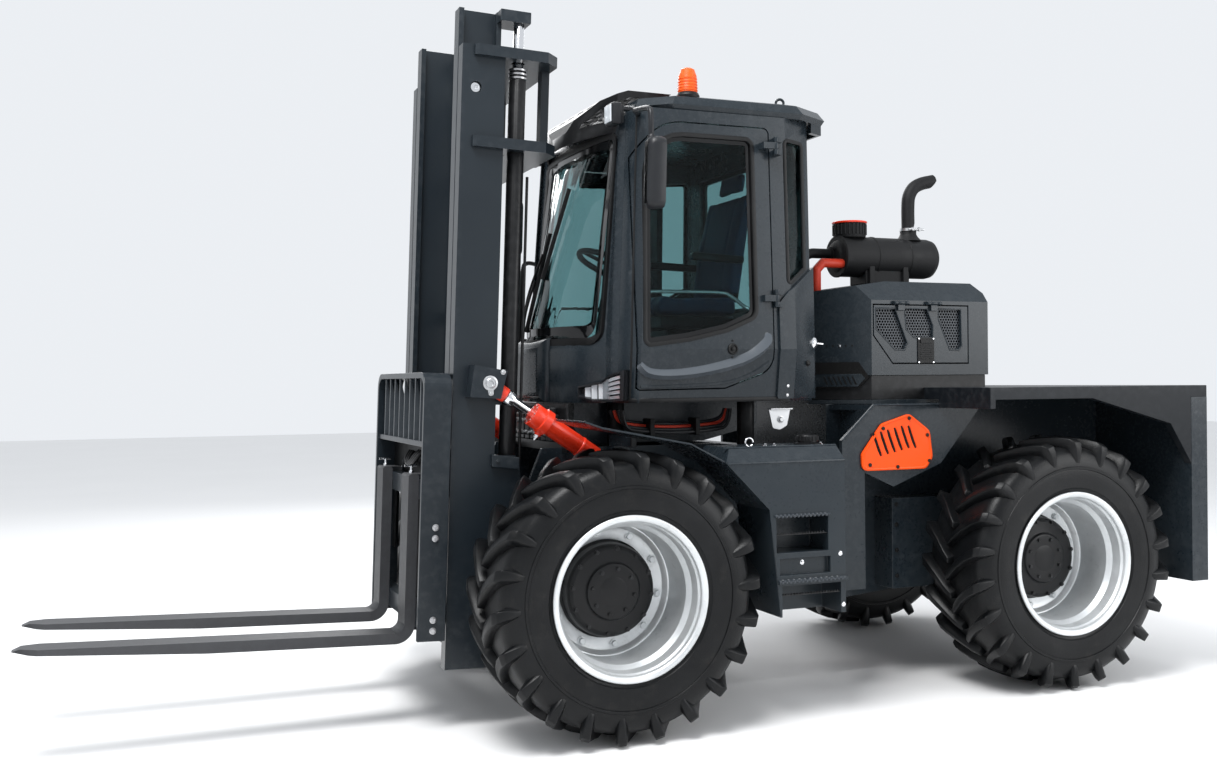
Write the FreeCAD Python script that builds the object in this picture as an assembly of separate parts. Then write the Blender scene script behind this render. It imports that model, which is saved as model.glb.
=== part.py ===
import FreeCAD, Part
import math
import os
from FreeCAD import Vector

# Articulated rough terrain forklift, millimetres.
# The model is laid out with X towards the rear, Y towards the machine's right and Z up,
# from the ground below the middle of the front axle.  `write` moves every piece so that
# the origin ends up on the ground at the middle of the machine's length.

# ---------------------------------------------------------------- driving dimensions
WHEEL_BASE = 2188.0
TYRE_RADIUS = 578.0
TYRE_WIDTH = 406.0
TYRE_CENTRE_Y = 780.0
RIM_RADIUS = 305.0
RIM_LIP = 23.0                # height of the rim's flange
RIM_WIDTH = 388.0
RIM_THICK = 10.0
HUB_FACE_IN = 22.0            # from the tyre's middle inwards to the hub's face
HUB_RADIUS = 190.0
DISC_IN = 125.0               # the same, to the rim's disc
SPINDLE_RADIUS = 55.0
SPINDLE_IN = 80.0             # the same, to the axle spindle's end
HUB_INNER_IN = 208.0          # the same, to the hub's inner end
TRUNNION_RADIUS = 62.0
CRADLE = (180.0, 235.0)       # plates that hold the rear axle's trunnion, from the axle

CHASSIS_HALF = 355.0
CHASSIS_PLATE = 25.0
CHASSIS_TOP_Z = 1140.0
AXLE_SLOT = 105.0
AXLE_SEAT_Z = 690.0
CAB_BEAM_X = (690.0, 770.0)
MOUNT_FRONT_X = 200.0
MOUNT_RADIUS = 38.0
MOUNT_IN = 40.0               # front mounts, inwards from the side plates
TRAY_ROOM = 15.0              # between the front mounts and the tray under the cab

PIVOT_X = 1120.0              # articulation axis between the two frames
PIVOT_PIN_RADIUS = 35.0
FRONT_SETBACK = 120.0         # from the pivot to the front frame's rear wall
REAR_SETBACK = 140.0          # from the pivot to the rear frame's front wall
EAR_RADIUS = 80.0
EAR_THICK = 30.0
EAR_PITCH = 90.0
EAR_ZS = (420.0, 960.0)
EAR_TOP_Z = 1100.0

STEER_Z = 600.0
STEER_Y = 230.0
STEER_FRONT_DX, STEER_REAR_DX = -180.0, 570.0
STEER_BARREL, STEER_ROD = 30.0, 16.0
STEER_BARREL_LENGTH = 410.0
STEER_EYE = 50.0              # thickness of the eyes

TILT_X, TILT_Z = -330.0, 500.0     # trunnion that the mast tilts on
MAST_PIN_RADIUS = 30.0
MAST_REST_DEG = 2.2
MAST_BOTTOM_Z, MAST_TOP_Z = 240.0, 2820.0
MAST_OUT = 95.0               # outer rails, outwards from the frame's side plates
RAIL_FRONT, RAIL_REAR = -280.0, -95.0   # from the trunnion, mast upright
RAIL_WEB = 20.0
RAIL_FLANGE = 22.0
FOOT_THICK = 14.0
OUTER_RAIL_WIDTH = 65.0
INNER_RAIL_WIDTH = 70.0
REST_LIFT = 116.0             # how far the inner mast is raised as it stands
LIFT_STROKE = 1700.0          # further lift from there
INNER_TOP_Z = 2990.0          # as it stands
BEAM_REAR = 145.0
BEAM_OUT = 25.0               # cross beams, outwards from the outer rails
BEAM_THICK = 45.0
BEAM_GAP = 8.0                # from the inner rails back to the cross members
BEAM_ZS = (MAST_TOP_Z - BEAM_THICK, 2395.0)
LIFT_X, LIFT_IN = -25.0, 52.0     # lift cylinders, inwards from the outer rails
LIFT_FOOT_Z = 660.0
LIFT_BARREL, LIFT_BORE, LIFT_ROD = 36.0, 30.0, 22.5
LIFT_GLAND_Z = 2752.0

TILT_CYL_OUT = 40.0           # tilt cylinders, outwards from the outer rails
TILT_BASE_X, TILT_BASE_Z = 100.0, 1060.0
TILT_EYE_X, TILT_EYE_Z = -440.0, 1423.0    # where the rod's pin stands at rest
TILT_EYE_WIDTH = 44.0
TILT_EYE_RADIUS = 38.0
TILT_PIN_RADIUS = 20.0
TILT_BARREL, TILT_BORE, TILT_ROD = 42.0, 34.0, 20.0
TILT_BARREL_LENGTH = 420.0
TILT_NECK = 84.0              # from a pin to where the cylinder is wider than its clevis
TILT_DRIFT = 4.5              # room round the pin in the rod's eye

FORK_LENGTH = 1470.0          # from the shank's front face to the tip
FORK_WIDTH = 130.0
FORK_THICK = 45.0
FORK_SPREAD = 530.0
FORK_TOP_Z = 375.0
FORK_BAR = (-380.0, -320.0)
FORK_BAR_ZS = ((400.0, 480.0), (930.0, 1010.0))
BACKREST_HALF = 480.0
BACKREST_PLATE = 24.0
BACKREST_TOP_Z = 1455.0
BACKREST_X = (-405.0, -320.0)
SLATS = 8
SLAT_X = (-392.0, -332.0)

CAB_FLOOR_Z = 1335.0
CAB_BELT_Z = 1560.0
CAB_TOP_Z = 2575.0
CAB_REAR_X = 1030.0
CAB_WALL = 38.0
QUARTER_PROUD = 12.0
LEFT_SKIN = (-760.0, -470.0)  # reach of the cuts through the cab's left side
DOOR_HINGE_X, DOOR_HINGE_Y = 800.0, -708.0
DOOR_X = (146.0, 790.0)       # the door's opening, front and rear
DOOR_Z = (1385.0, 2525.0)
DOOR_HINGE_ZS = (1780.0, 2440.0)
DOOR_PIN = 6.0
GLASS_INSET = 10.0
LAMP_PROUD = 34.0
LAMP_ROOM = 8.0               # from the headlamps back to the doors' openings
GLASS_THICK = 6.0
ROOF_TOP_Z = 2648.0
VISOR_SHEET = 8.0

ENGINE_Z = (720.0, 1640.0)
HOOD_HALF = 500.0
HOOD_NOSE_HALF = 270.0
HOOD_FRONT_X, HOOD_FLARE_X, HOOD_REAR_X = 1215.0, 1420.0, 2090.0
HOOD_BASE_Z, HOOD_SILL_Z, HOOD_EDGE_Z, HOOD_TOP_Z = 1330.0, 1445.0, 1798.0, 1893.0
HOOD_SHEET = 14.0
PLINTH_INSET = 10.0
LID_X = (1428.0, 1975.0)
LID_Z = (1497.0, 1780.0)
LID_HINGE_XS = (1561.0, 1748.0)
HINGE_LENGTH = 38.0
LID_HINGE_Y, LID_HINGE_Z = -HOOD_HALF - 11, LID_Z[1] + 5
LEAF = 30.0                   # height of a lid hinge's leaf

DECK_TOP_Z = 1385.0
DECK_THICK = 55.0
DECK_FRONT_X = 1720.0
REAR_OVERHANG = 812.0
REAR_WALL = 100.0
BODY_HALF = 968.0
SKIRT = 38.0
SKIRT_BOTTOM_Z = 450.0
TOW_Z, TOW_INSET, TOW_RADIUS = 660.0, 38.0, 16.0

SHOULDER_HALF = 600.0
TANK_HALF = 500.0
STEP_OUTER_Y = 950.0
STEP_INNER_Y = 660.0
STEP_REAR_X = 980.0
STEP_DEPTH = 150.0
FENDER_THICK = 8.0

# ---------------------------------------------------------------- named clearances
PIN_GAP = 0.1                 # a pin in its bore
SLIDE_GAP = 0.4               # a rod in its gland, a roller in its channel
SEAT_GAP = 0.3                # a piece that rests on another
CURVE_GAP = 0.8               # a piece that is fitted to the cab's curved skin
DOOR_GAP = 6.0                # round a door or lid
MOVE_GAP = 6.0                # between bodies that move past each other

HUB_Z = TYRE_RADIUS
REAR_X = WHEEL_BASE + REAR_OVERHANG
RIM_LIP_RADIUS = RIM_RADIUS + RIM_LIP
HUB_FACE_Y = TYRE_CENTRE_Y - HUB_FACE_IN
DISC_Y = TYRE_CENTRE_Y - DISC_IN
SPINDLE_Y = TYRE_CENTRE_Y - SPINDLE_IN
HUB_INNER_Y = TYRE_CENTRE_Y - HUB_INNER_IN
MAST_HALF = CHASSIS_HALF + MAST_OUT
BEAM_HALF = MAST_HALF + BEAM_OUT
LIFT_Y = MAST_HALF - LIFT_IN
TILT_CYL_Y = MAST_HALF + TILT_CYL_OUT
INNER_RAIL_OUT = MAST_HALF - OUTER_RAIL_WIDTH - 10
ROLLER_X = (RAIL_FRONT + RAIL_REAR) / 2
ROLLER_RADIUS = (RAIL_REAR - RAIL_FRONT) / 2 - RAIL_FLANGE - SLIDE_GAP
CROSSHEAD_Z = (MAST_TOP_Z + REST_LIFT + MOVE_GAP, INNER_TOP_Z)
DECK_UNDER_Z = DECK_TOP_Z - DECK_THICK


# ---------------------------------------------------------------- shape helpers
def box(x, y, z):
    """A block between the low and high values of x, y and z."""
    return Part.makeBox(x[1] - x[0], y[1] - y[0], z[1] - z[0], Vector(x[0], y[0], z[0]))


def outline_face(points):
    return Part.Face(Part.makePolygon([Vector(*p) for p in points + points[:1]]))


def side_plate(points, y):
    """An outline of (x, z) points, extruded from y[0] to y[1]."""
    return outline_face([(px, y[0], pz) for px, pz in points]).extrude(Vector(0, y[1] - y[0], 0))


def deck_plate(points, z):
    """An outline of (x, y) points, extruded from z[0] to z[1]."""
    return outline_face([(px, py, z[0]) for px, py in points]).extrude(Vector(0, 0, z[1] - z[0]))


def cross_plate(points, x):
    """An outline of (y, z) points, extruded from x[0] to x[1]."""
    return outline_face([(x[0], py, pz) for py, pz in points]).extrude(Vector(x[1] - x[0], 0, 0))


def rounded_wire(corners, place):
    """Closed wire through (u, v, radius) corners; place turns u and v into a point."""
    ends = []
    for i, (u, v, radius) in enumerate(corners):
        before, after = corners[i - 1], corners[(i + 1) % len(corners)]
        here = Vector(u, v, 0)
        back = Vector(before[0] - u, before[1] - v, 0).normalize()
        ahead = Vector(after[0] - u, after[1] - v, 0).normalize()
        half = back.getAngle(ahead) / 2
        reach = radius / math.tan(half)
        middle = here + (back + ahead).normalize() * (radius / math.sin(half) - radius)
        ends.append([place(p.x, p.y) for p in (here + back * reach, middle, here + ahead * reach)])
    edges = []
    for i, (start, middle, end) in enumerate(ends):
        if corners[i][2]:
            edges.append(Part.Arc(start, middle, end).toShape())
        edges.append(Part.LineSegment(end, ends[(i + 1) % len(ends)][0]).toShape())
    return Part.Wire(edges)


def rounded_side_plate(corners, y):
    """An outline of (x, z, radius) corners, extruded from y[0] to y[1]."""
    wire = rounded_wire(corners, lambda u, v: Vector(u, y[0], v))
    return Part.Face(wire).extrude(Vector(0, y[1] - y[0], 0))


def bar(start, end, radius):
    """A round bar between two points."""
    a, b = Vector(*start), Vector(*end)
    return Part.makeCylinder(radius, (b - a).Length, a, b - a)


def cross_bar(x, y, z, radius):
    """A round bar along Y, from y[0] to y[1]."""
    return bar((x, y[0], z), (x, y[1], z), radius)


def turned(outline, x, z):
    """A closed outline of (y, radius) points, turned about the line along Y through x, z."""
    return outline_face([(x, py, z + r) for py, r in outline]).revolve(Vector(x, 0, z), Vector(0, 1, 0),
                                                                       360)


def bent_tube(points, radius):
    """A round tube along straight runs with ball joints at the corners."""
    parts = [bar(a, b, radius) for a, b in zip(points, points[1:])]
    parts += [Part.makeSphere(radius, Vector(*p)) for p in points[1:-1]]
    return fused(*parts)


def mirrored(shape):
    return shape.mirror(Vector(0, 0, 0), Vector(0, 1, 0))


def fused(*shapes):
    return shapes[0].multiFuse(list(shapes[1:])).removeSplitter()


def pair(shape):
    """The left piece and its mirror image, as separate solids."""
    return Part.makeCompound([shape, mirrored(shape)])


def symmetric(*shapes):
    """Left pieces and their mirror images, as one solid."""
    return fused(*shapes, *[mirrored(shape) for shape in shapes])


# ---------------------------------------------------------------- wheels and axles
def tyre(axle_x, side):
    """Tyre to the height of its lugs, with rounded shoulders and bulging walls."""
    half = TYRE_WIDTH / 2
    bead = RIM_WIDTH / 2 - 14
    wall = [(bead, RIM_RADIUS), (bead, RIM_LIP_RADIUS + 5), (half - 5, RIM_RADIUS + 70),
            (half, RIM_RADIUS + 130),
            (half - 6, TYRE_RADIUS - 55), (half - 28, TYRE_RADIUS - 18), (half - 70, TYRE_RADIUS)]
    outline = [(-y, r) for y, r in wall] + wall[::-1]
    return turned([(side * TYRE_CENTRE_Y + y, r) for y, r in outline], axle_x, HUB_Z)


def rim(axle_x, side):
    """Deep rim with flanges, its disc set inboard and the planetary hub through it."""
    half = RIM_WIDTH / 2
    out, well = RIM_RADIUS - SEAT_GAP, RIM_RADIUS - RIM_THICK
    flange = [(half - 13.7, out), (half - 12, RIM_LIP_RADIUS), (half, RIM_LIP_RADIUS), (half, well + 12),
              (half - 40, well)]
    edge = [(-y, r) for y, r in flange] + flange[::-1]
    barrel = turned([(side * (TYRE_CENTRE_Y + y), r) for y, r in edge], axle_x, HUB_Z)
    disc = [(DISC_Y - 8, 0), (DISC_Y - 8, RIM_RADIUS - 60), (DISC_Y + 30, well + 3),
            (DISC_Y + 44, well + 3), (DISC_Y + 8, RIM_RADIUS - 55), (DISC_Y + 8, HUB_RADIUS + 12),
            (HUB_FACE_Y - 14, HUB_RADIUS), (HUB_FACE_Y, HUB_RADIUS - 16), (HUB_FACE_Y, 118),
            (HUB_FACE_Y + 12, 112), (HUB_FACE_Y + 12, 0)]
    hub = [(HUB_INNER_Y, 0), (HUB_INNER_Y, 120), (DISC_Y - 4, 150), (DISC_Y - 4, 0)]
    centre = turned([(side * y, r) for y, r in disc], axle_x, HUB_Z)
    inner = turned([(side * y, r) for y, r in hub], axle_x, HUB_Z)
    bore = cross_bar(axle_x, sorted((side * (HUB_INNER_Y - 10), side * (SPINDLE_Y + 5))), HUB_Z,
                     SPINDLE_RADIUS + PIN_GAP)
    return fused(barrel, centre, inner).cut(bore)


def axle(axle_x):
    """Axle housing with its differential bowl, brake ends and wheel spindles."""
    half = [(0, 0), (0, 172), (60, 168), (120, 130), (160, 92), (400, 84), (430, 128),
            (HUB_INNER_Y - 42, 132), (HUB_INNER_Y - MOVE_GAP, 116),
            (HUB_INNER_Y - MOVE_GAP, SPINDLE_RADIUS), (SPINDLE_Y, SPINDLE_RADIUS), (SPINDLE_Y, 0)]
    return symmetric(turned(half, axle_x, HUB_Z))


def front_axle():
    """The front axle is bolted up to the frame on two pads."""
    pad = box((-90, 90), (CHASSIS_HALF - 45, CHASSIS_HALF + 5), (HUB_Z, AXLE_SEAT_Z))
    return fused(axle(0), pad, mirrored(pad))


def rear_axle():
    """The rear axle hangs on a fore and aft trunnion below the frame."""
    return fused(axle(WHEEL_BASE),
                 bar((WHEEL_BASE - CRADLE[1], 0, HUB_Z), (WHEEL_BASE + CRADLE[1], 0, HUB_Z),
                     TRUNNION_RADIUS))


# ---------------------------------------------------------------- front frame
def front_chassis():
    """Plate frame between the mast trunnions, the front axle and the articulation ears."""
    outer, inner = CHASSIS_HALF, CHASSIS_HALF - CHASSIS_PLATE
    rear_x = PIVOT_X - FRONT_SETBACK
    low_z = TILT_Z - 120
    outline = [(TILT_X - 60, TILT_Z - 60), (TILT_X + 60, TILT_Z - 110), (-AXLE_SLOT, low_z),
               (rear_x, low_z),
               (rear_x, EAR_TOP_Z), (CAB_BEAM_X[1], CHASSIS_TOP_Z), (-160, CHASSIS_TOP_Z),
               (TILT_X - 60, TILT_Z + 90)]
    side = side_plate(outline, (-outer, -inner))
    side = side.cut(box((-AXLE_SLOT, AXLE_SLOT), (-outer - 5, -inner + 5), (300, AXLE_SEAT_Z)))
    across = (-inner, inner)
    parts = [side, mirrored(side)]
    wall = box((rear_x - CHASSIS_PLATE, rear_x), across, (low_z, EAR_TOP_Z))
    for y in ((-inner, -150), (150, inner)):
        wall = wall.cut(box((rear_x - CHASSIS_PLATE - 5, rear_x + 5), y, (STEER_Z - 75, STEER_Z + 75)))
    parts.append(wall)
    parts.append(box((300, rear_x), across, (EAR_TOP_Z - 25, EAR_TOP_Z)))
    parts.append(box((TILT_X + 45, TILT_X + 70), across, (TILT_Z - 80, TILT_Z + 170)))
    parts.append(box((230, 255), across, (low_z, EAR_TOP_Z)))
    parts.append(box(CAB_BEAM_X, (-STEP_INNER_Y, STEP_INNER_Y), (CHASSIS_TOP_Z - 60, CHASSIS_TOP_Z)))
    for low in EAR_ZS:
        for z in (low, low + EAR_PITCH):
            parts.append(deck_plate([(rear_x, -170), (PIVOT_X, -EAR_RADIUS), (PIVOT_X, EAR_RADIUS),
                                     (rear_x, 170)], (z, z + EAR_THICK)))
            parts.append(bar((PIVOT_X, 0, z), (PIVOT_X, 0, z + EAR_THICK), EAR_RADIUS))
    lug_x = (PIVOT_X + STEER_FRONT_DX - 70, PIVOT_X + STEER_FRONT_DX + 50)
    lug_gap = STEER_BARREL + MOVE_GAP
    for z in ((STEER_Z - lug_gap - 16, STEER_Z - lug_gap), (STEER_Z + lug_gap, STEER_Z + lug_gap + 16)):
        lug = box(lug_x, (-inner, -STEER_Y + 55), z)
        parts += [lug, mirrored(lug)]
    bracket = tilt_bracket()
    parts += [bracket, mirrored(bracket)]
    frame = fused(*parts)
    for hole in (bar((PIVOT_X, 0, 300), (PIVOT_X, 0, 1200), PIVOT_PIN_RADIUS + PIN_GAP),
                 cross_bar(TILT_X, (-500, 500), TILT_Z, MAST_PIN_RADIUS + PIN_GAP),
                 cross_bar(TILT_BASE_X, (-600, 600), TILT_BASE_Z, TILT_PIN_RADIUS + PIN_GAP)):
        frame = frame.cut(hole)
    return frame


def tilt_bracket():
    """Clevis on the left side plate that carries the tilt cylinder's base pin."""
    cheek = TILT_EYE_WIDTH / 2 + MOVE_GAP
    outer = -TILT_CYL_Y - cheek - 14
    foot = (TILT_BASE_Z - 90, TILT_BASE_Z - 70)
    near = [(TILT_BASE_X - 60, foot[0]), (TILT_BASE_X + 70, foot[0]), (TILT_BASE_X + 70, TILT_BASE_Z + 20),
            (TILT_BASE_X + 30, TILT_BASE_Z + 45), (TILT_BASE_X - 35, TILT_BASE_Z + 45),
            (TILT_BASE_X - 60, TILT_BASE_Z + 10)]
    return fused(side_plate(near, (outer, outer + 14)),
                 side_plate(near, (-TILT_CYL_Y + cheek, -CHASSIS_HALF)),
                 box((TILT_BASE_X - 60, TILT_BASE_X + 70), (outer, -CHASSIS_HALF), foot))


def frame_pins():
    """Articulation pins, mast trunnion pins and the tilt cylinders' base pins."""
    pins = [bar((PIVOT_X, 0, low - 12), (PIVOT_X, 0, low + EAR_PITCH + EAR_THICK + 12), PIVOT_PIN_RADIUS)
            for low in EAR_ZS]
    mast_pin = cross_bar(TILT_X, (-MAST_HALF + 15, -CHASSIS_HALF + CHASSIS_PLATE - 15), TILT_Z,
                         MAST_PIN_RADIUS)
    reach = TILT_EYE_WIDTH / 2 + MOVE_GAP + 20
    base_pin = cross_bar(TILT_BASE_X, (-TILT_CYL_Y - reach, -TILT_CYL_Y + reach + 10), TILT_BASE_Z,
                         TILT_PIN_RADIUS)
    return Part.makeCompound(pins + [mast_pin, mirrored(mast_pin), base_pin, mirrored(base_pin)])


def cab_mounts():
    """Four rubber blocks between the frame and the cab floor."""
    front = bar((MOUNT_FRONT_X, -CHASSIS_HALF + MOUNT_IN, CHASSIS_TOP_Z),
                (MOUNT_FRONT_X, -CHASSIS_HALF + MOUNT_IN, CAB_FLOOR_Z),
                MOUNT_RADIUS)
    mid_x = sum(CAB_BEAM_X) / 2
    rear = bar((mid_x, -540, CHASSIS_TOP_Z), (mid_x, -540, CAB_FLOOR_Z), MOUNT_RADIUS)
    return Part.makeCompound([front, mirrored(front), rear, mirrored(rear)])


def front_fender():
    """Left mudguard: a bent sheet over the tyre with a foot on the frame."""
    line = [(-182, 1274), (-110, 1249), (270, 1177), (420, 1100)]
    under = [(x, z - FENDER_THICK) for x, z in line]
    sheet = side_plate(line + under[::-1], (-STEP_OUTER_Y + 10, -600))
    foot = fused(box((150, 175), (-610, -CHASSIS_HALF), (CHASSIS_TOP_Z + 8, 1195)),
                 box((150, 175), (-CHASSIS_HALF - 60, -CHASSIS_HALF), (CHASSIS_TOP_Z - 40, 1195)))
    foot = foot.cut(side_plate([(x, z + 200) for x, z in line] + under[::-1], (-620, -CHASSIS_HALF + 5)))
    return fused(sheet, foot)


def step_box():
    """Left side box with its bevelled top edge and two steps let into it."""
    front = [(420, 1092), (618, 894), (665, 450), (STEP_REAR_X, 450), (STEP_REAR_X, 1092)]
    block = side_plate(front, (-STEP_OUTER_Y, -STEP_INNER_Y))
    crown = cross_plate([(-STEP_OUTER_Y, 1092), (-STEP_OUTER_Y + 70, 1150), (-STEP_INNER_Y, 1150),
                         (-STEP_INNER_Y, 1092)], (420, STEP_REAR_X))
    crown = crown.cut(side_plate([(410, 1080), (410, 1160), (478, 1160), (420, 1092)],
                                 (-STEP_OUTER_Y - 5, -STEP_INNER_Y + 5)))
    shell = fused(block, crown)
    outer = -STEP_OUTER_Y
    recesses = [box((650, 895), (outer - 5, outer + STEP_DEPTH), (715, 862)),
                box((665, 905), (outer - 5, outer + 25), (622, 690)),
                box((675, STEP_REAR_X - 25), (outer - 5, outer + STEP_DEPTH), (440, 578))]
    beam = box((CAB_BEAM_X[0] - SEAT_GAP, CAB_BEAM_X[1] + SEAT_GAP), (-STEP_INNER_Y - 5, -STEP_INNER_Y + 5),
               (CHASSIS_TOP_Z - 60, CHASSIS_TOP_Z))
    for space in recesses + [beam]:
        shell = shell.cut(space)
    treads = [box((640, 905), (outer - 8, outer + 30), (862, 872)),
              box((655, STEP_REAR_X + 5), (outer - 12, outer + 30), (586, 604))]
    return fused(shell, *treads)


def cab_base():
    """Closed tray under the cab floor that holds its valves and pedal gear."""
    top = CAB_FLOOR_Z - SEAT_GAP
    face = [(20, top, 0), (20, 1215, 40), (90, CHASSIS_TOP_Z + 10, 30), (660, CHASSIS_TOP_Z + 10, 30),
            (940, 1215, 40), (940, top, 0)]
    half = CHASSIS_HALF - MOUNT_IN - MOUNT_RADIUS - TRAY_ROOM
    return rounded_side_plate(face, (-half, half))


# ---------------------------------------------------------------- cab
def cab_lean(z):
    """How far height z lies above the belt line, and below it, as shares of 1."""
    return (max(0.0, (z - CAB_BELT_Z) / (CAB_TOP_Z - CAB_BELT_Z)),
            max(0.0, (CAB_BELT_Z - z) / (CAB_BELT_Z - CAB_FLOOR_Z)))


def cab_side(z):
    """Half width of the cab's flat sides at height z."""
    lean, drop = cab_lean(z)
    return 702 - 42 * lean - 34 * drop


def cab_section(z, inset):
    """Plan outline of the cab at height z: bowed front, corner posts, flat sides and rear."""
    lean = cab_lean(z)[0]
    apex = -100 + 235 * lean + inset
    edge = 92 + 78 * lean + inset
    side_x = 160 + 50 * lean + inset
    front_half = 470 - inset
    side = cab_side(z) - inset
    rear_side_x = 880 - 10 * lean - inset
    rear_half = 605 - 25 * lean - inset
    rear_x = CAB_REAR_X - inset
    corner = ((edge + side_x) / 2 - 16, -(front_half + side) / 2 - 16)

    def at(x, y):
        return Vector(x, y, z)

    edges = [Part.Arc(at(edge, front_half), at(apex, 0), at(edge, -front_half)).toShape(),
             Part.Arc(at(edge, -front_half), at(*corner), at(side_x, -side)).toShape(),
             Part.LineSegment(at(side_x, -side), at(rear_side_x, -side)).toShape(),
             Part.LineSegment(at(rear_side_x, -side), at(rear_x, -rear_half)).toShape(),
             Part.LineSegment(at(rear_x, -rear_half), at(rear_x, rear_half)).toShape(),
             Part.LineSegment(at(rear_x, rear_half), at(rear_side_x, side)).toShape(),
             Part.LineSegment(at(rear_side_x, side), at(side_x, side)).toShape(),
             Part.Arc(at(side_x, side), at(corner[0], -corner[1]), at(edge, front_half)).toShape()]
    return Part.Wire(edges)


def cab_form(inset, low=CAB_FLOOR_Z, high=CAB_TOP_Z):
    """Solid of the cab's outer form, moved inwards by inset, between two heights."""
    levels = sorted({low, max(low, CAB_BELT_Z), high})
    return Part.makeLoft([cab_section(z, inset) for z in levels], True, True)


def door_space(grow=0.0):
    """The left door's opening, with a large arc at the top front and its front edge round the hinge."""
    front, rear, low, high = DOOR_X[0] - grow, DOOR_X[1] + grow, DOOR_Z[0] - grow, DOOR_Z[1] + grow
    opening = rounded_side_plate([(front, low, 20 + grow), (560, low + 5, 0),
                                  (rear, low + 85, 90 + grow), (rear, high, 30 + grow),
                                  (front, high, 230 + grow)], LEFT_SKIN)
    return opening.common(bar((DOOR_HINGE_X, DOOR_HINGE_Y, low - 5), (DOOR_HINGE_X, DOOR_HINGE_Y, high + 5),
                              DOOR_HINGE_X - front))


def door_window():
    return rounded_side_plate([(178, 1574, 25), (380, 1600, 0), (560, 1640, 0), (705, 1700, 50),
                               (705, 2470, 35), (200, 2470, 180)], LEFT_SKIN)


def windscreen_space():
    return box((-250, 220), (-446, 446), (1600, 2500))


def quarter_space():
    return rounded_side_plate([(862, 1835, 12), (990, 1918, 12), (990, 2480, 20), (862, 2480, 20)],
                              (-760, -480))


def quarter_panel():
    """Left pressed panel at the cab's rear corner, standing a little proud, with a rising top edge."""
    outline = [(812, 1345, 10), (812, 1760, 30), (862, 1812, 20), (1050, 1935, 0), (1050, 1345, 0)]
    return cab_form(-QUARTER_PROUD).common(rounded_side_plate(outline, (-780, -520))).cut(cab_form(5))


def rear_window_space():
    return box((CAB_REAR_X - 60, CAB_REAR_X + 20), (-440, 440), (1760, 2470))


def cab_frame():
    """Cab shell: floor, lower panels, posts and roof ring, with its door and window openings."""
    shell = cab_form(0).cut(cab_form(CAB_WALL, CAB_FLOOR_Z + 25, CAB_TOP_Z + 1))
    openings = [door_space(), mirrored(door_space()), windscreen_space(), quarter_space(),
                mirrored(quarter_space()), rear_window_space()]
    for opening in openings:
        shell = shell.cut(opening)
    hinges = []
    for z in DOOR_HINGE_ZS:
        for low in (z - 38, z + 15):
            leaf = box((DOOR_HINGE_X, DOOR_HINGE_X + 28), (DOOR_HINGE_Y - 6, -cab_side(z) + 12),
                       (low, low + 23))
            hinges += [leaf, bar((DOOR_HINGE_X, DOOR_HINGE_Y, low), (DOOR_HINGE_X, DOOR_HINGE_Y, low + 23),
                                 11)]
        hinges.append(bar((DOOR_HINGE_X, DOOR_HINGE_Y, z - 30), (DOOR_HINGE_X, DOOR_HINGE_Y, z + 30),
                          DOOR_PIN))
    return symmetric(shell, quarter_panel(), *hinges)


def pane(space, inset=GLASS_INSET):
    """Glass that fills an opening, let in from the outer face."""
    layer = cab_form(inset, CAB_BELT_Z, CAB_TOP_Z).cut(cab_form(inset + GLASS_THICK, CAB_BELT_Z, CAB_TOP_Z))
    return layer.common(space)


def cab_glass():
    quarter = pane(quarter_space())
    return Part.makeCompound([pane(windscreen_space()), quarter, mirrored(quarter),
                              pane(rear_window_space())])


def door():
    """Left door: a framed panel as thick as the wall, with its window cut."""
    skin = cab_form(0).cut(cab_form(CAB_WALL - 2, CAB_FLOOR_Z - 1, CAB_TOP_Z + 1))
    panel = skin.common(door_space(-DOOR_GAP)).cut(door_window())
    for z in DOOR_HINGE_ZS:
        span = (z - 14, z + 14)
        arm = fused(box((DOOR_HINGE_X - 37, DOOR_HINGE_X), (DOOR_HINGE_Y - 6, DOOR_HINGE_Y + 7), span),
                    box((DOOR_HINGE_X - 62, DOOR_HINGE_X - 32), (DOOR_HINGE_Y - 6, -cab_side(z) + 12),
                        span),
                    bar((DOOR_HINGE_X, DOOR_HINGE_Y, span[0]), (DOOR_HINGE_X, DOOR_HINGE_Y, span[1]), 11))
        bore = bar((DOOR_HINGE_X, DOOR_HINGE_Y, z - 30), (DOOR_HINGE_X, DOOR_HINGE_Y, z + 30),
                   DOOR_PIN + PIN_GAP)
        panel = panel.fuse(arm.cut(bore))
    return panel.removeSplitter()


def door_glass():
    return pane(door_window())


def cab_roof():
    """Roof cap with its eaves, a drip edge that drops at the rear and a lifting eye."""
    plan = [(205, -560), (330, -664), (960, -668), (1130, -570), (1130, 570), (960, 668), (330, 664),
            (205, 560)]
    cap = Part.makeLoft([plan_wire(plan, CAB_TOP_Z, 12), plan_wire(plan, CAB_TOP_Z + 22, 0),
                         plan_wire(plan, ROOF_TOP_Z - 12, 22), plan_wire(plan, ROOF_TOP_Z, 60)], True, True)
    drip = deck_plate([(1042, -600), (1118, -560), (1118, 560), (1042, 600)],
                      (CAB_TOP_Z - 42, CAB_TOP_Z + 10))
    drip = drip.cut(deck_plate([(1042, -575), (1104, -540), (1104, 540), (1042, 575)],
                               (CAB_TOP_Z - 50, CAB_TOP_Z)))
    eye = Part.makeTorus(17, 6, Vector(905, -560, ROOF_TOP_Z + 16), Vector(0.4, 1, 0))
    foot = bar((905, -560, ROOF_TOP_Z - 20), (905, -560, ROOF_TOP_Z + 6), 14)
    return fused(cap, drip, eye, foot)


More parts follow.
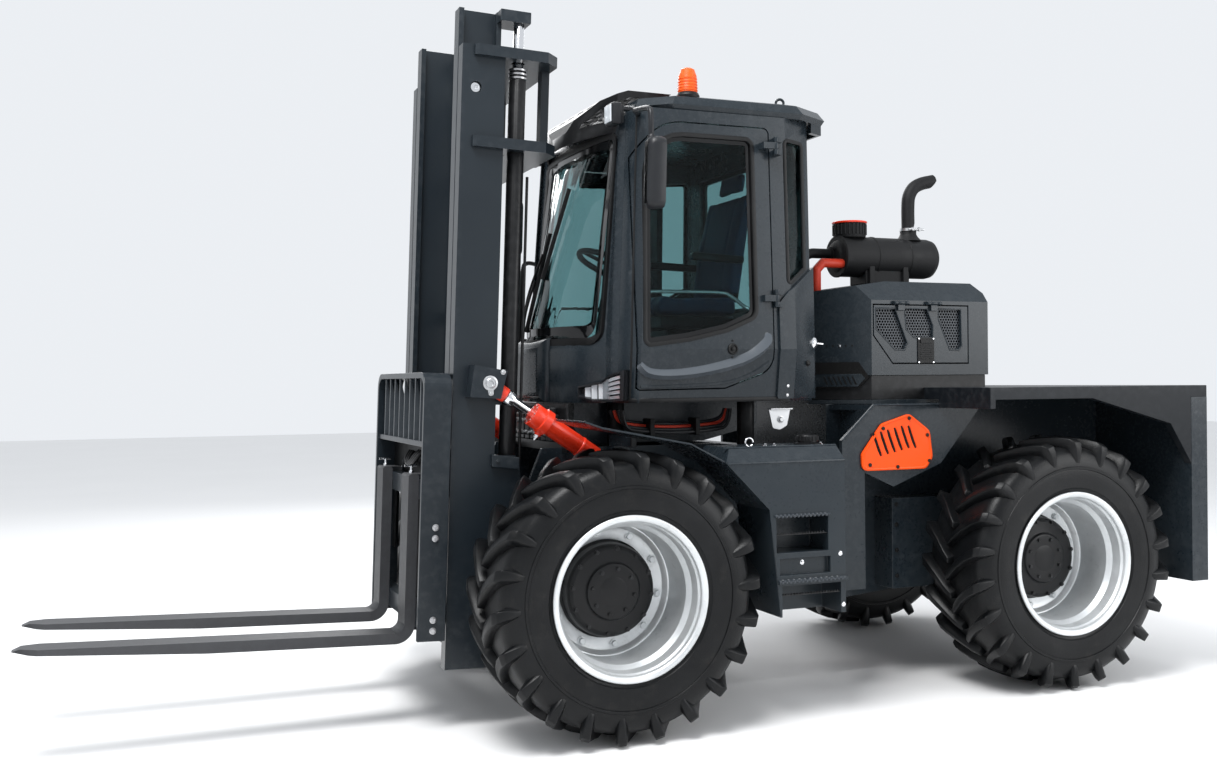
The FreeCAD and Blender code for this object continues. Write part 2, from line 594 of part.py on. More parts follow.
def plan_wire(points, z, inset):
    """A plan outline at height z, drawn in towards its middle by inset."""
    mid_x = (min(p[0] for p in points) + max(p[0] for p in points)) / 2

    def moved(value, centre):
        return value - math.copysign(inset, value - centre)

    path = [Vector(moved(px, mid_x), moved(py, 0), z) for px, py in points]
    return Part.makePolygon(path + path[:1])


def visor_grille():
    """Curved guard over the windscreen's top: a slotted sheet with a narrow lip along its edges."""
    profile = [(420, ROOF_TOP_Z + 40), (215, ROOF_TOP_Z + 42), (120, 2658), (66, 2606), (50, 2545),
               (50, 2520)]

    def plan(inset):
        bow = Part.Arc(Vector(165 + inset, -455 + inset, 2400), Vector(50 + inset, 0, 2400),
                       Vector(165 + inset, 455 - inset, 2400)).toShape()
        rest = Part.makePolygon([Vector(165 + inset, 455 - inset, 2400), Vector(430, 455 - inset, 2400),
                                 Vector(430, -455 + inset, 2400), Vector(165 + inset, -455 + inset, 2400)])
        return Part.Face(Part.Wire([bow] + rest.Edges)).extrude(Vector(0, 0, 400))

    def under(drop):
        low = [(x + drop * 0.5, z - drop) for x, z in profile]
        return side_plate(low + [(430, 2400), (50 + drop * 0.5, 2400)], (-460, 460))

    sheet = under(0).cut(under(VISOR_SHEET)).common(plan(0))
    for row in range(10):
        x = 100 + 32 * row
        for column in range(-3, 4):
            y = 122 * column + (30 if row % 2 else -30)
            if abs(y) < 375:
                sheet = sheet.cut(box((x, x + 13), (y - 47, y + 47), (2450, 2800)))
    lip = under(0).cut(under(28)).common(plan(0).cut(plan(VISOR_SHEET)))
    apron = plan(0).cut(plan(VISOR_SHEET)).common(box((0, 170), (-460, 460), (2505, 2560)))
    return fused(sheet, lip, apron).cut(cab_form(-SEAT_GAP)).cut(cab_roof())


def front_cowl():
    """Air box below the windscreen."""
    front = rounded_wire([(-116, -198, 55), (60, -198, 0), (60, 198, 0), (-116, 198, 55)],
                         lambda u, v: Vector(u, v, CAB_FLOOR_Z + 5))
    block = Part.Face(front).extrude(Vector(0, 0, 290))
    crown = rounded_wire([(-116, CAB_FLOOR_Z + 5, 40), (60, CAB_FLOOR_Z + 5, 0), (60, 1625, 0),
                          (-116, 1625, 70)], lambda u, v: Vector(u, -200, v))
    block = block.common(Part.Face(crown).extrude(Vector(0, 400, 0)))
    return block.cut(cab_form(-CURVE_GAP))


def lamps():
    """Headlamps wrapped round the cab's lower corners and work lamps beside the visor."""
    face = [(-400, 1352), (-380, 1400), (-402, 1424), (-560, 1462), (-760, 1476), (-760, 1345),
            (-690, 1336),
            (-480, 1340)]
    wrap = cross_plate(face, (-200, DOOR_X[0] - LAMP_ROOM)).common(cab_form(-LAMP_PROUD))
    head = wrap.cut(cab_form(-CURVE_GAP))
    work = fused(box((85, 150), (-575, -480), (2512, 2612)),
                 box((150, 205 - SEAT_GAP), (-545, -510), (2580, 2600)))
    work = work.cut(cab_form(-CURVE_GAP))
    return Part.makeCompound([head, mirrored(head), work, mirrored(work)])


def mirror_arm():
    """Left mirror: a rounded housing on a bent tube from the corner post."""
    housing = rounded_side_plate([(70, 2106, 28), (156, 2100, 30), (165, 2398, 32), (74, 2404, 32)],
                                 (-970, -875))
    arm = bent_tube([(120, -920, 2390), (120, -905, 2490), (130, -700, 2545), (215, -590, 2552)], 11)
    return fused(housing, arm).cut(cab_form(-SEAT_GAP))


def beacon():
    x, y = 450, -560
    return fused(bar((x, y, ROOF_TOP_Z), (x, y, ROOF_TOP_Z + 22), 52),
                 Part.makeCone(46, 40, 115, Vector(x, y, ROOF_TOP_Z + 20)))


def cab_seat():
    """Operator's seat: pedestal, cushion, back and head rest."""
    cushion = box((430, 900), (-240, 240), (1720, 1830))
    back = side_plate([(820, 1830), (900, 1830), (985, 2330), (915, 2330)], (-225, 225))
    head = side_plate([(925, 2330), (975, 2330), (990, 2440), (940, 2440)], (-120, 120))
    pedestal = box((500, 850), (-170, 170), (CAB_FLOOR_Z + 25, 1720))
    return fused(cushion.makeFillet(30, cushion.Edges), back, head, pedestal)


def steering_column():
    """Console, raked column and steering wheel."""
    top = Vector(330, 0, 1960)
    axis = Vector(0.42, 0, 0.91)
    column = bar((215, 0, 1500), tuple(top), 32)
    wheel = Part.makeTorus(180, 14, top, axis)
    hub = Part.makeCylinder(45, 24, top - axis * 12, axis)
    spokes = [Part.makeCylinder(9, 182, top, Vector(-0.91, 0, 0.42)),
              Part.makeCylinder(9, 182, top, Vector(0, 1, 0)),
              Part.makeCylinder(9, 182, top, Vector(0, -1, 0))]
    console = side_plate([(60, CAB_FLOOR_Z + 25), (300, CAB_FLOOR_Z + 25), (260, 1560), (110, 1600)],
                         (-130, 130))
    return fused(console, column, wheel, hub, *spokes)


# ---------------------------------------------------------------- rear frame
def hood_plan(inset=0.0):
    """Left half of the hood's outline in plan, from the nose to the rear."""
    return [(HOOD_FRONT_X + inset, -HOOD_NOSE_HALF + inset * 0.4),
            (HOOD_FLARE_X + inset * 0.4, -HOOD_HALF + inset),
            (HOOD_REAR_X - inset, -HOOD_HALF + inset)]


def hood_outline(inset=0.0):
    left = hood_plan(inset)
    return left + [(x, -y) for x, y in left[::-1]]


def rear_chassis():
    """Plate frame from the articulation tongues back to the counterweight."""
    outer, inner = CHASSIS_HALF, CHASSIS_HALF - CHASSIS_PLATE
    front_x = PIVOT_X + REAR_SETBACK
    back_x = REAR_X - REAR_WALL
    top_z = DECK_UNDER_Z - 20
    outline = [(front_x, TILT_Z - 120), (WHEEL_BASE - 288, TILT_Z - 60), (WHEEL_BASE - 228, 860),
               (WHEEL_BASE + 232, 860), (WHEEL_BASE + 292, 560),
               (back_x, 560),
               (back_x, top_z), (front_x, top_z)]
    side = side_plate(outline, (-outer, -inner))
    across = (-inner, inner)
    wall = box((front_x, front_x + CHASSIS_PLATE), across, (TILT_Z - 120, top_z))
    for y in ((-inner, -95), (95, inner)):
        wall = wall.cut(box((front_x - 5, front_x + CHASSIS_PLATE + 5), y, (STEER_Z - 85, STEER_Z + 85)))
    parts = [side, mirrored(side), wall]
    parts.append(box((1480, 1505), across, (ENGINE_Z[0] - 80, ENGINE_Z[0])))
    parts.append(box((1860, 1885), across, (ENGINE_Z[0] - 80, ENGINE_Z[0])))
    for x in (WHEEL_BASE - CRADLE[1], WHEEL_BASE + CRADLE[0]):
        parts.append(box((x, x + CRADLE[1] - CRADLE[0]), (-inner, inner), (HUB_Z - 110, 900)))
    plate = deck_plate(hood_outline(), (top_z, DECK_UNDER_Z))
    plate = plate.cut(box((1440, 2040), (-300, 300), (top_z - 5, DECK_UNDER_Z + 5)))
    parts.append(plate)
    parts.append(box((HOOD_REAR_X - 5, back_x), (-outer, outer), (top_z, DECK_UNDER_Z)))
    for low in EAR_ZS:
        z = (low + EAR_THICK + MOVE_GAP, low + EAR_PITCH - MOVE_GAP)
        parts.append(deck_plate([(front_x + 5, -150), (PIVOT_X, -EAR_RADIUS), (PIVOT_X, EAR_RADIUS),
                                 (front_x + 5, 150)], z))
        parts.append(bar((PIVOT_X, 0, z[0]), (PIVOT_X, 0, z[1]), EAR_RADIUS))
    lug_gap = STEER_BARREL + MOVE_GAP
    for z in ((STEER_Z - lug_gap - 16, STEER_Z - lug_gap), (STEER_Z + lug_gap, STEER_Z + lug_gap + 16)):
        lug = box((PIVOT_X + STEER_REAR_DX - 50, PIVOT_X + STEER_REAR_DX + 60), (-inner, -STEER_Y + 55), z)
        parts += [lug, mirrored(lug)]
    frame = fused(*parts)
    frame = frame.cut(bar((PIVOT_X, 0, 300), (PIVOT_X, 0, 1200), PIVOT_PIN_RADIUS + PIN_GAP))
    frame = frame.cut(bar((WHEEL_BASE - 300, 0, HUB_Z), (WHEEL_BASE + 300, 0, HUB_Z),
                          TRUNNION_RADIUS + PIN_GAP))
    for side_y in (-STEER_Y, STEER_Y):
        frame = frame.cut(bar((PIVOT_X + STEER_REAR_DX, side_y, 400),
                              (PIVOT_X + STEER_REAR_DX, side_y, 800),
                              TILT_PIN_RADIUS + PIN_GAP))
    return frame


def engine_block():
    return box((1460, 1940), (-250, 250), ENGINE_Z)


def rear_pins():
    """Base pins of the steering cylinders."""
    reach = STEER_BARREL + MOVE_GAP + 24
    x = PIVOT_X + STEER_REAR_DX
    return pair(bar((x, -STEER_Y, STEER_Z - reach), (x, -STEER_Y, STEER_Z + reach), TILT_PIN_RADIUS))


def hood_form(inset):
    """Outer form of the hood, moved inwards by inset: upright sides and bevelled top edges."""
    low, edge, top = HOOD_SILL_Z, HOOD_EDGE_Z, HOOD_TOP_Z - inset
    plan = deck_plate(hood_outline(inset), (low - (inset > 0), top))
    half = HOOD_HALF - inset
    section = cross_plate([(-half, low - 2), (-half, edge - inset * 0.4), (-half + 75, top),
                           (half - 75, top),
                           (half, edge - inset * 0.4), (half, low - 2)],
                          (HOOD_FRONT_X - 20, HOOD_REAR_X + 20))
    side = side_plate([(HOOD_FRONT_X - 10, low - 3), (HOOD_FRONT_X - 10, top - 50),
                       (HOOD_FRONT_X + 330, top),
                       (HOOD_REAR_X - 45 - inset, top), (HOOD_REAR_X - inset, top - 50),
                       (HOOD_REAR_X - inset, low - 3)],
                      (-HOOD_HALF - 10, HOOD_HALF + 10))
    return plan.common(section).common(side)


def hood_door_outline(grow=0.0):
    """Outline in side view of the left lid in the hood's side."""
    front, rear, low, high = LID_X[0] - grow, LID_X[1] + grow, LID_Z[0] - grow, LID_Z[1] + grow
    return [(front, high), (front, LID_Z[0] + 133 - grow * 0.4), (LID_X[0] + 108 - grow * 0.4, low),
            (rear, low),
            (rear, high)]


def hood():
    """Sheet hood with an opening for a lid on either side."""
    shell = hood_form(0).cut(hood_form(HOOD_SHEET))
    opening = side_plate(hood_door_outline(), (-HOOD_HALF - 5, -HOOD_HALF + 40))
    shell = shell.cut(opening).cut(mirrored(opening))
    hinges = []
    for x in LID_HINGE_XS:
        for low in (x - 22, x + HINGE_LENGTH + 2):
            hinges.append(lid_knuckle(low, 20).fuse(box((low, low + 20), (LID_HINGE_Y, -HOOD_HALF + 5),
                                                        (LID_HINGE_Z - 3, LID_HINGE_Z + 10))))
        hinges.append(bar((x - 10, LID_HINGE_Y, LID_HINGE_Z),
                          (x + HINGE_LENGTH + 10, LID_HINGE_Y, LID_HINGE_Z), 5))
    return fused(shell, *hinges, *[mirrored(piece) for piece in hinges])


def lid_knuckle(x, length):
    return bar((x, LID_HINGE_Y, LID_HINGE_Z), (x + length, LID_HINGE_Y, LID_HINGE_Z), 9)


def hood_door():
    """Left lid: a pressed panel with three window openings for mesh, on two hinges."""
    lid = side_plate(hood_door_outline(-DOOR_GAP), (-HOOD_HALF, -HOOD_HALF + HOOD_SHEET))
    for x in LID_HINGE_XS:
        leaf = fused(box((x, x + HINGE_LENGTH), (LID_HINGE_Y - 3, -HOOD_HALF - 2),
                         (LID_Z[1] - LEAF, LID_HINGE_Z)),
                     box((x, x + HINGE_LENGTH), (LID_HINGE_Y - 3, -HOOD_HALF),
                         (LID_Z[1] - LEAF, LID_Z[1] - DOOR_GAP)),
                     lid_knuckle(x, HINGE_LENGTH))
        bore = bar((x - 5, LID_HINGE_Y, LID_HINGE_Z), (x + HINGE_LENGTH + 5, LID_HINGE_Y, LID_HINGE_Z),
                   5 + PIN_GAP)
        lid = lid.fuse(leaf.cut(bore))
    lid = lid.removeSplitter()
    windows = [[(1447, 1757), (1552, 1757), (1618, 1598), (1602, 1567), (1550, 1567), (1450, 1660)],
               [(1608, 1757), (1732, 1757), (1764, 1683), (1764, 1625), (1660, 1625), (1618, 1662)],
               [(1802, 1757), (1928, 1757), (1932, 1586), (1914, 1567), (1864, 1567), (1802, 1707)]]
    for outline in windows:
        lid = lid.cut(side_plate(outline, (-HOOD_HALF - 5, -HOOD_HALF + 30)))
    return lid


def hood_base():
    """Plinth ring below the hood."""
    ring = deck_plate(hood_outline(PLINTH_INSET), (HOOD_BASE_Z, HOOD_SILL_Z))
    return ring.cut(deck_plate(hood_outline(PLINTH_INSET + 25), (HOOD_BASE_Z - 5, HOOD_SILL_Z + 5)))


def shoulder():
    """Left shoulder of the rear frame ahead of the wheel, with a leg down to the frame's foot."""
    face = [(1190, 1150), (1360, 1308), (1975, 1308), (1730, 1030), (1465, 930), (1310, 1000), (1310, 470),
            (1190, 470)]
    plate = side_plate(face, (-SHOULDER_HALF, -SHOULDER_HALF + 22))
    top = deck_plate([(1360, -SHOULDER_HALF), (1275, -CHASSIS_HALF), (1975, -CHASSIS_HALF),
                      (1975, -SHOULDER_HALF)],
                     (1284, 1308))
    web = box((1330, 1352), (-SHOULDER_HALF + 10, -CHASSIS_HALF), (1000, 1290))
    return fused(plate, top, web)


def vent_panel():
    """Left louvred panel: a bevelled plate with slanted slots."""
    face = [(1285, 1005), (1290, 1090), (1400, 1225), (1555, 1265), (1665, 1180), (1680, 1050),
            (1640, 1005)]
    plate = side_plate(face, (-SHOULDER_HALF - 14, -SHOULDER_HALF))
    for i in range(8):
        x = 1350 + 30 * i
        z = 1120 + 10 * min(i, 4)
        slot = side_plate([(x, z + 55), (x + 10, z + 55), (x + 45, z - 55), (x + 35, z - 55)],
                          (-SHOULDER_HALF - 20, -SHOULDER_HALF - 5))
        plate = plate.cut(slot)
    return plate


def side_tank():
    return box((1525, 1850), (-TANK_HALF, -CHASSIS_HALF), (440, 865)).cut(
        cross_bar(WHEEL_BASE, (-TANK_HALF - 5, -CHASSIS_HALF + 5), HUB_Z, 300))


def rear_deck():
    """Deck over the rear wheels with its outer skirts and the hood let into it."""
    plan = [(DECK_FRONT_X, -BODY_HALF), (REAR_X, -BODY_HALF), (REAR_X, BODY_HALF),
            (DECK_FRONT_X, BODY_HALF)]
    deck = deck_plate(plan, (DECK_UNDER_Z, DECK_TOP_Z))
    deck = deck.cut(deck_plate(hood_outline(PLINTH_INSET - SEAT_GAP), (DECK_UNDER_Z - 5, DECK_TOP_Z + 5)))
    back_x = REAR_X - REAR_WALL
    skirt = side_plate([(WHEEL_BASE + 112, DECK_UNDER_Z), (back_x, DECK_UNDER_Z), (back_x, 1010),
                        (WHEEL_BASE + 582, 1205)],
                       (-BODY_HALF, -BODY_HALF + SKIRT))
    front = box((DECK_FRONT_X, DECK_FRONT_X + 30), (-BODY_HALF, -SHOULDER_HALF),
                (DECK_UNDER_Z - 40, DECK_UNDER_Z))
    return fused(deck, skirt, mirrored(skirt), front, mirrored(front))


def counterweight():
    """Full width rear wall with the ballast block between the frame plates and a towing jaw."""
    back_x = REAR_X - REAR_WALL
    inner = CHASSIS_HALF - CHASSIS_PLATE
    wall = box((back_x, REAR_X), (-BODY_HALF, BODY_HALF), (SKIRT_BOTTOM_Z, DECK_UNDER_Z))
    block = box((WHEEL_BASE + 312, back_x), (-inner, inner), (600, DECK_UNDER_Z - 20))
    weight = fused(wall, block)
    weight = weight.cut(box((REAR_X - 75, REAR_X + 5), (-75, 75), (TOW_Z - 55, TOW_Z + 55)))
    return weight.cut(bar((REAR_X - TOW_INSET, 0, TOW_Z - 120), (REAR_X - TOW_INSET, 0, TOW_Z + 120),
                          TOW_RADIUS))


def muffler():
    """Silencer drum on two saddles with its stack, intake cap and pipes."""
    y, z, r = -200.0, 2030.0, 100.0
    drum = bar((1425, y, z), (1985, y, z), r)
    drum = drum.makeFillet(28, [e for e in drum.Edges if abs(e.CenterOfMass.x - 1985) < 1])
    saddle = box((1545, 1800), (y - 70, y + 70), (HOOD_TOP_Z - 5, z - 60))
    stack = bent_tube([(1845, y, z + 60), (1845, y, 2300), (1858, y, 2352), (1890, y, 2392),
                       (1935, y, 2413),
                       (2000, y, 2428)], 33)
    stack = stack.cut(side_plate([(1965, 2470), (2040, 2470), (2040, 2370), (2010, 2370)],
                                 (y - 60, y + 60)))
    clamp = bar((1845, y, z + 95), (1845, y, z + 128), 40)
    cap = bar((1500, y, z + 90), (1500, y, z + 170), 80)
    pipe = bent_tube([(1430, y + 55, z + 18), (1300, y + 55, z + 18), (1262, y + 55, z - 20),
                      (1262, y + 55, 1840)], 25)
    return fused(drum, saddle, stack, clamp, cap, pipe).cut(hood_form(-SEAT_GAP))


def intake_hose():
    """Rubber hose from the silencer's end down into the hood."""
    y, z = -255.0, 1990.0
    hose = bent_tube([(1425 - SEAT_GAP, y, z), (1310, y, z), (1275, y, z - 35), (1275, y, 1840)], 22)
    return hose.cut(hood_form(-SEAT_GAP))


# ---------------------------------------------------------------- mast, carriage and forks
def lean(shape):
    """From the upright mast to its place at rest."""
    tilted = shape.copy()
    tilted.rotate(Vector(TILT_X, 0, TILT_Z), Vector(0, 1, 0), MAST_REST_DEG)
    return tilted


def mast_box(x, y, z):
    """A block of the upright mast, with x counted from the trunnion."""
    return box((TILT_X + x[0], TILT_X + x[1]), y, z)


def outer_rail(z):
    """Left outer rail: a channel, open inwards."""
    y = (-MAST_HALF, -MAST_HALF + OUTER_RAIL_WIDTH)
    throat = mast_box((RAIL_FRONT + RAIL_FLANGE, RAIL_REAR - RAIL_FLANGE), (y[0] + RAIL_WEB, y[1] + 5), z)
    return mast_box((RAIL_FRONT, RAIL_REAR), y, z).cut(throat)


def roller(y, z):
    return cross_bar(TILT_X + ROLLER_X, sorted(y), z, ROLLER_RADIUS)


def outer_mast():
    """Outer rails with their cross beams, lower brackets, trunnions and tilt cylinder cheeks."""
    z = (MAST_BOTTOM_Z, MAST_TOP_Z)
    parts = [outer_rail(z)]
    rear = TILT_X + RAIL_REAR
    inner_edge = -MAST_HALF + OUTER_RAIL_WIDTH
    for low in BEAM_ZS:
        plan = [(rear - 135, -BEAM_HALF + 12), (rear - 120, -BEAM_HALF),
                (TILT_X + BEAM_REAR - 60, -BEAM_HALF),
                (TILT_X + BEAM_REAR, -BEAM_HALF + 60), (TILT_X + BEAM_REAR, 0), (rear + 40, 0),
                (rear + 40, -MAST_HALF + 110), (rear + BEAM_GAP, -MAST_HALF + 110),
                (rear + BEAM_GAP, inner_edge),
                (rear, inner_edge), (rear, -MAST_HALF), (rear - 135, -MAST_HALF)]
        parts.append(deck_plate(plan, (low, low + BEAM_THICK)))
    post = mast_box((BEAM_REAR - 45, BEAM_REAR - 10), (-MAST_HALF + 105, -MAST_HALF + 155),
                    (BEAM_ZS[1] + BEAM_THICK, BEAM_ZS[0]))
    parts.append(post)
    for z in ((1330, 1450), (MAST_BOTTOM_Z + 20, MAST_BOTTOM_Z + 130)):
        parts.append(mast_box((RAIL_REAR + BEAM_GAP, RAIL_REAR + 30), (-MAST_HALF + 10, 0), z))
        parts.append(mast_box((RAIL_REAR, RAIL_REAR + 30), (-MAST_HALF + 10, inner_edge), z))
    foot = [(rear, MAST_BOTTOM_Z + 20), (rear + 75, MAST_BOTTOM_Z + 80), (TILT_X + 60, TILT_Z + 60),
            (TILT_X + 15, 1090), (TILT_X - 5, 1120), (rear, 1120)]
    parts.append(side_plate(foot, (-MAST_HALF, -MAST_HALF + FOOT_THICK)))
    parts.append(cross_bar(TILT_X, (-MAST_HALF, -CHASSIS_HALF - 45), TILT_Z, MAST_PIN_RADIUS + 28))
    seat_z = (LIFT_FOOT_Z - 22, LIFT_FOOT_Z)
    parts.append(mast_box((RAIL_REAR, LIFT_X + 45), (-MAST_HALF + 5, inner_edge), seat_z))
    parts.append(mast_box((RAIL_REAR + BEAM_GAP, LIFT_X + 45), (inner_edge, -CHASSIS_HALF - MOVE_GAP),
                          seat_z))
    left = fused(*parts)
    frame = symmetric(left)
    for y in ((-MAST_HALF + RAIL_WEB - 2, -INNER_RAIL_OUT + 28),
              (MAST_HALF - RAIL_WEB + 2, INNER_RAIL_OUT - 28)):
        frame = frame.fuse(cross_bar(TILT_X + ROLLER_X, sorted(y), MAST_TOP_Z - 95, ROLLER_RADIUS))
    for side in (-1, 1):
        centre = (TILT_X + LIFT_X, side * LIFT_Y)
        frame = frame.cut(bar((*centre, 2300), (*centre, LIFT_GLAND_Z + 10), LIFT_BARREL + SLIDE_GAP))
        frame = frame.cut(bar((*centre, LIFT_GLAND_Z), (*centre, 3000), LIFT_ROD + 6))
    frame = frame.cut(cross_bar(TILT_X, (-500, 500), TILT_Z, MAST_PIN_RADIUS + PIN_GAP))
    for y in ((-MAST_HALF - 5, -MAST_HALF + 16), (MAST_HALF - 16, MAST_HALF + 5)):
        frame = frame.cut(cross_bar(TILT_X + RAIL_FRONT + 62, y, MAST_TOP_Z - 175, 24))
    frame = lean(frame)
    cheek = TILT_EYE_WIDTH / 2 + MOVE_GAP
    ear = [(TILT_EYE_X - 85, TILT_EYE_Z - 55), (TILT_EYE_X - 65, TILT_EYE_Z + 75),
           (TILT_EYE_X + 75, TILT_EYE_Z + 50),
           (TILT_EYE_X + 45, TILT_EYE_Z - 65)]
    inner_ear = side_plate(ear, (-TILT_CYL_Y + cheek, -MAST_HALF))
    outer_ear = side_plate(ear, (-TILT_CYL_Y - cheek - 14, -TILT_CYL_Y - cheek))
    bridge = side_plate([ear[0], ear[1], (ear[1][0] + 22, ear[1][1] - 4), (ear[0][0] + 22, ear[0][1] - 3)],
                        (-TILT_CYL_Y - cheek - 14, -MAST_HALF))
    ears = fused(inner_ear, outer_ear, bridge)
    frame = fused(frame, ears, mirrored(ears))
    return frame.cut(cross_bar(TILT_EYE_X, (-600, 600), TILT_EYE_Z, TILT_PIN_RADIUS + PIN_GAP))


def mast_pins():
    """Pins of the tilt cylinders' rod eyes."""
    reach = TILT_EYE_WIDTH / 2 + MOVE_GAP + 20
    return pair(cross_bar(TILT_EYE_X, (-TILT_CYL_Y - reach, -MAST_HALF - 1), TILT_EYE_Z, TILT_PIN_RADIUS))


def lift_cylinders():
    """Barrels behind the outer rails, closed at the foot, with a gland at the top."""
    x, low = TILT_X + LIFT_X, LIFT_FOOT_Z
    barrel = bar((x, -LIFT_Y, low), (x, -LIFT_Y, LIFT_GLAND_Z), LIFT_BARREL)
    bore = bar((x, -LIFT_Y, low + 40), (x, -LIFT_Y, LIFT_GLAND_Z - 45), LIFT_BORE)
    gland = bar((x, -LIFT_Y, low + 40), (x, -LIFT_Y, LIFT_GLAND_Z + 1), LIFT_ROD + SLIDE_GAP)
    return lean(pair(barrel.cut(bore).cut(gland)))


def lift_rods():
    x = TILT_X + LIFT_X
    return lean(pair(bar((x, -LIFT_Y, LIFT_GLAND_Z - LIFT_STROKE - 130), (x, -LIFT_Y, CROSSHEAD_Z[0]),
                         LIFT_ROD)))


def inner_mast():
    """Inner rails with their lower rollers, cross members and the crosshead over the lift rods."""
    top, low = INNER_TOP_Z, MAST_BOTTOM_Z + REST_LIFT + 20
    out, width = INNER_RAIL_OUT, INNER_RAIL_WIDTH
    rail = mast_box((RAIL_FRONT, RAIL_REAR), (-out, -out + width), (low, top))
    throat = (RAIL_FRONT + RAIL_FLANGE, RAIL_REAR - RAIL_FLANGE)
    rail = rail.cut(mast_box(throat, (-out - 5, -out + width / 2 - 5), (low - 5, top + 5)))
    rail = rail.cut(mast_box(throat, (-out + width / 2 + 5, -out + width + 5), (low - 5, top + 5)))
    parts = [rail, cross_bar(TILT_X + ROLLER_X, (-MAST_HALF + RAIL_WEB + 3, -out + 32), low + 90,
                             ROLLER_RADIUS)]
    for z in ((top - 90, top - 20), (low + 200, low + 290), (1700, 1760)):
        parts.append(mast_box((RAIL_REAR - 20, RAIL_REAR), (-out + 10, 0), z))
    parts.append(mast_box((RAIL_REAR - 20, LIFT_X + 42), (-LIFT_Y - 36, -out + width), CROSSHEAD_Z))
    return lean(symmetric(*parts))


def fork_carriage():
    """Two fork bars on roller plates that run in the inner rails."""
    half = BACKREST_HALF - BACKREST_PLATE
    bars = [mast_box(FORK_BAR, (-half, half), z) for z in FORK_BAR_ZS]
    out = INNER_RAIL_OUT
    cheek = mast_box((FORK_BAR[1], RAIL_REAR - 35), (-out + INNER_RAIL_WIDTH + 18,
                                                     -out + INNER_RAIL_WIDTH + 44), (400, 1060))
    parts = [cheek]
    for z in (500, 960):
        parts.append(cross_bar(TILT_X + ROLLER_X, (-out + 43, -out + INNER_RAIL_WIDTH + 20), z,
                               ROLLER_RADIUS))
    return lean(fused(*bars, *parts, *[mirrored(p) for p in parts]))


def load_backrest():
    """Guard above the carriage: side plates, a rounded top and upright slats."""
    half, plate = BACKREST_HALF, BACKREST_PLATE
    corner = 70

    def frame(inset):
        low, high, wide = FORK_TOP_Z - 10, BACKREST_TOP_Z - inset, half - inset
        bend = corner - inset * 0.6
        k = bend * (1 - math.sqrt(0.5))

        def at(y, z):
            return Vector(TILT_X + BACKREST_X[0], y, z)

        edges = [Part.LineSegment(at(-wide, low), at(-wide, high - bend)).toShape(),
                 Part.Arc(at(-wide, high - bend), at(-wide + k, high - k),
                          at(-wide + bend, high)).toShape(),
                 Part.LineSegment(at(-wide + bend, high), at(wide - bend, high)).toShape(),
                 Part.Arc(at(wide - bend, high), at(wide - k, high - k), at(wide, high - bend)).toShape(),
                 Part.LineSegment(at(wide, high - bend), at(wide, low)).toShape(),
                 Part.LineSegment(at(wide, low), at(-wide, low)).toShape()]
        return Part.Face(Part.Wire(edges)).extrude(Vector(BACKREST_X[1] - BACKREST_X[0], 0, 0))

    hoop = frame(0).cut(frame(plate)).cut(mast_box((BACKREST_X[0] - 5, BACKREST_X[1] + 5),
                                                   (-half + plate, half - plate),
                                                   (FORK_TOP_Z - 30, 900)))
    parts = [hoop, mast_box(SLAT_X, (-half + 5, half - 5), (1150, 1172))]
    pitch = (2 * (half - plate)) / (SLATS + 1)
    for i in range(1, SLATS + 1):
        y = -half + plate + i * pitch
        parts.append(mast_box(SLAT_X, (y - 6, y + 6), (1160, BACKREST_TOP_Z - 10)))
    return lean(fused(*parts))


def fork(side):
    """One fork: tapered blade, rounded heel, shank and its hooks on the two bars."""
    y = (side * FORK_SPREAD / 2 - FORK_WIDTH / 2, side * FORK_SPREAD / 2 + FORK_WIDTH / 2)
    back = TILT_X + FORK_BAR[0] - SEAT_GAP
    front = back - FORK_THICK
    tip = front - FORK_LENGTH
    top, low = FORK_TOP_Z, FORK_TOP_Z - FORK_THICK
    outline = [(back, 1032, 12), (front, 1032, 12), (front, top, 38), (tip + 30, top, 0),
               (tip, top - 12, 0),
               (tip + 60, top - 22, 0), (tip + 700, low, 0), (back, low, 38 + FORK_THICK)]
    body = rounded_side_plate(outline, y)
    nose = deck_plate([(tip, y[0] + 42), (tip + 90, y[0]), (back + 80, y[0]), (back + 80, y[1]),
                       (tip + 90, y[1]),
                       (tip, y[1] - 42)], (low - 5, 1100))
    upper_z = FORK_BAR_ZS[1][1] + SEAT_GAP
    hook = box((front + 5, back + 45), (y[0] + 10, y[1] - 10), (upper_z, upper_z + 22))
    lower_z = FORK_BAR_ZS[0][0] - SEAT_GAP
    heel = box((front + 25, back + 30), (y[0] + 15, y[1] - 15), (lower_z - 16, lower_z))
    return lean(fused(body.common(nose), hook, heel))


# ---------------------------------------------------------------- cylinders
def tilt_line():
    """Unit vector along the left tilt cylinder, from its base pin to its rod eye, and the length."""
    line = Vector(TILT_EYE_X - TILT_BASE_X, 0, TILT_EYE_Z - TILT_BASE_Z)
    return line.normalize(), math.hypot(TILT_EYE_X - TILT_BASE_X, TILT_EYE_Z - TILT_BASE_Z)


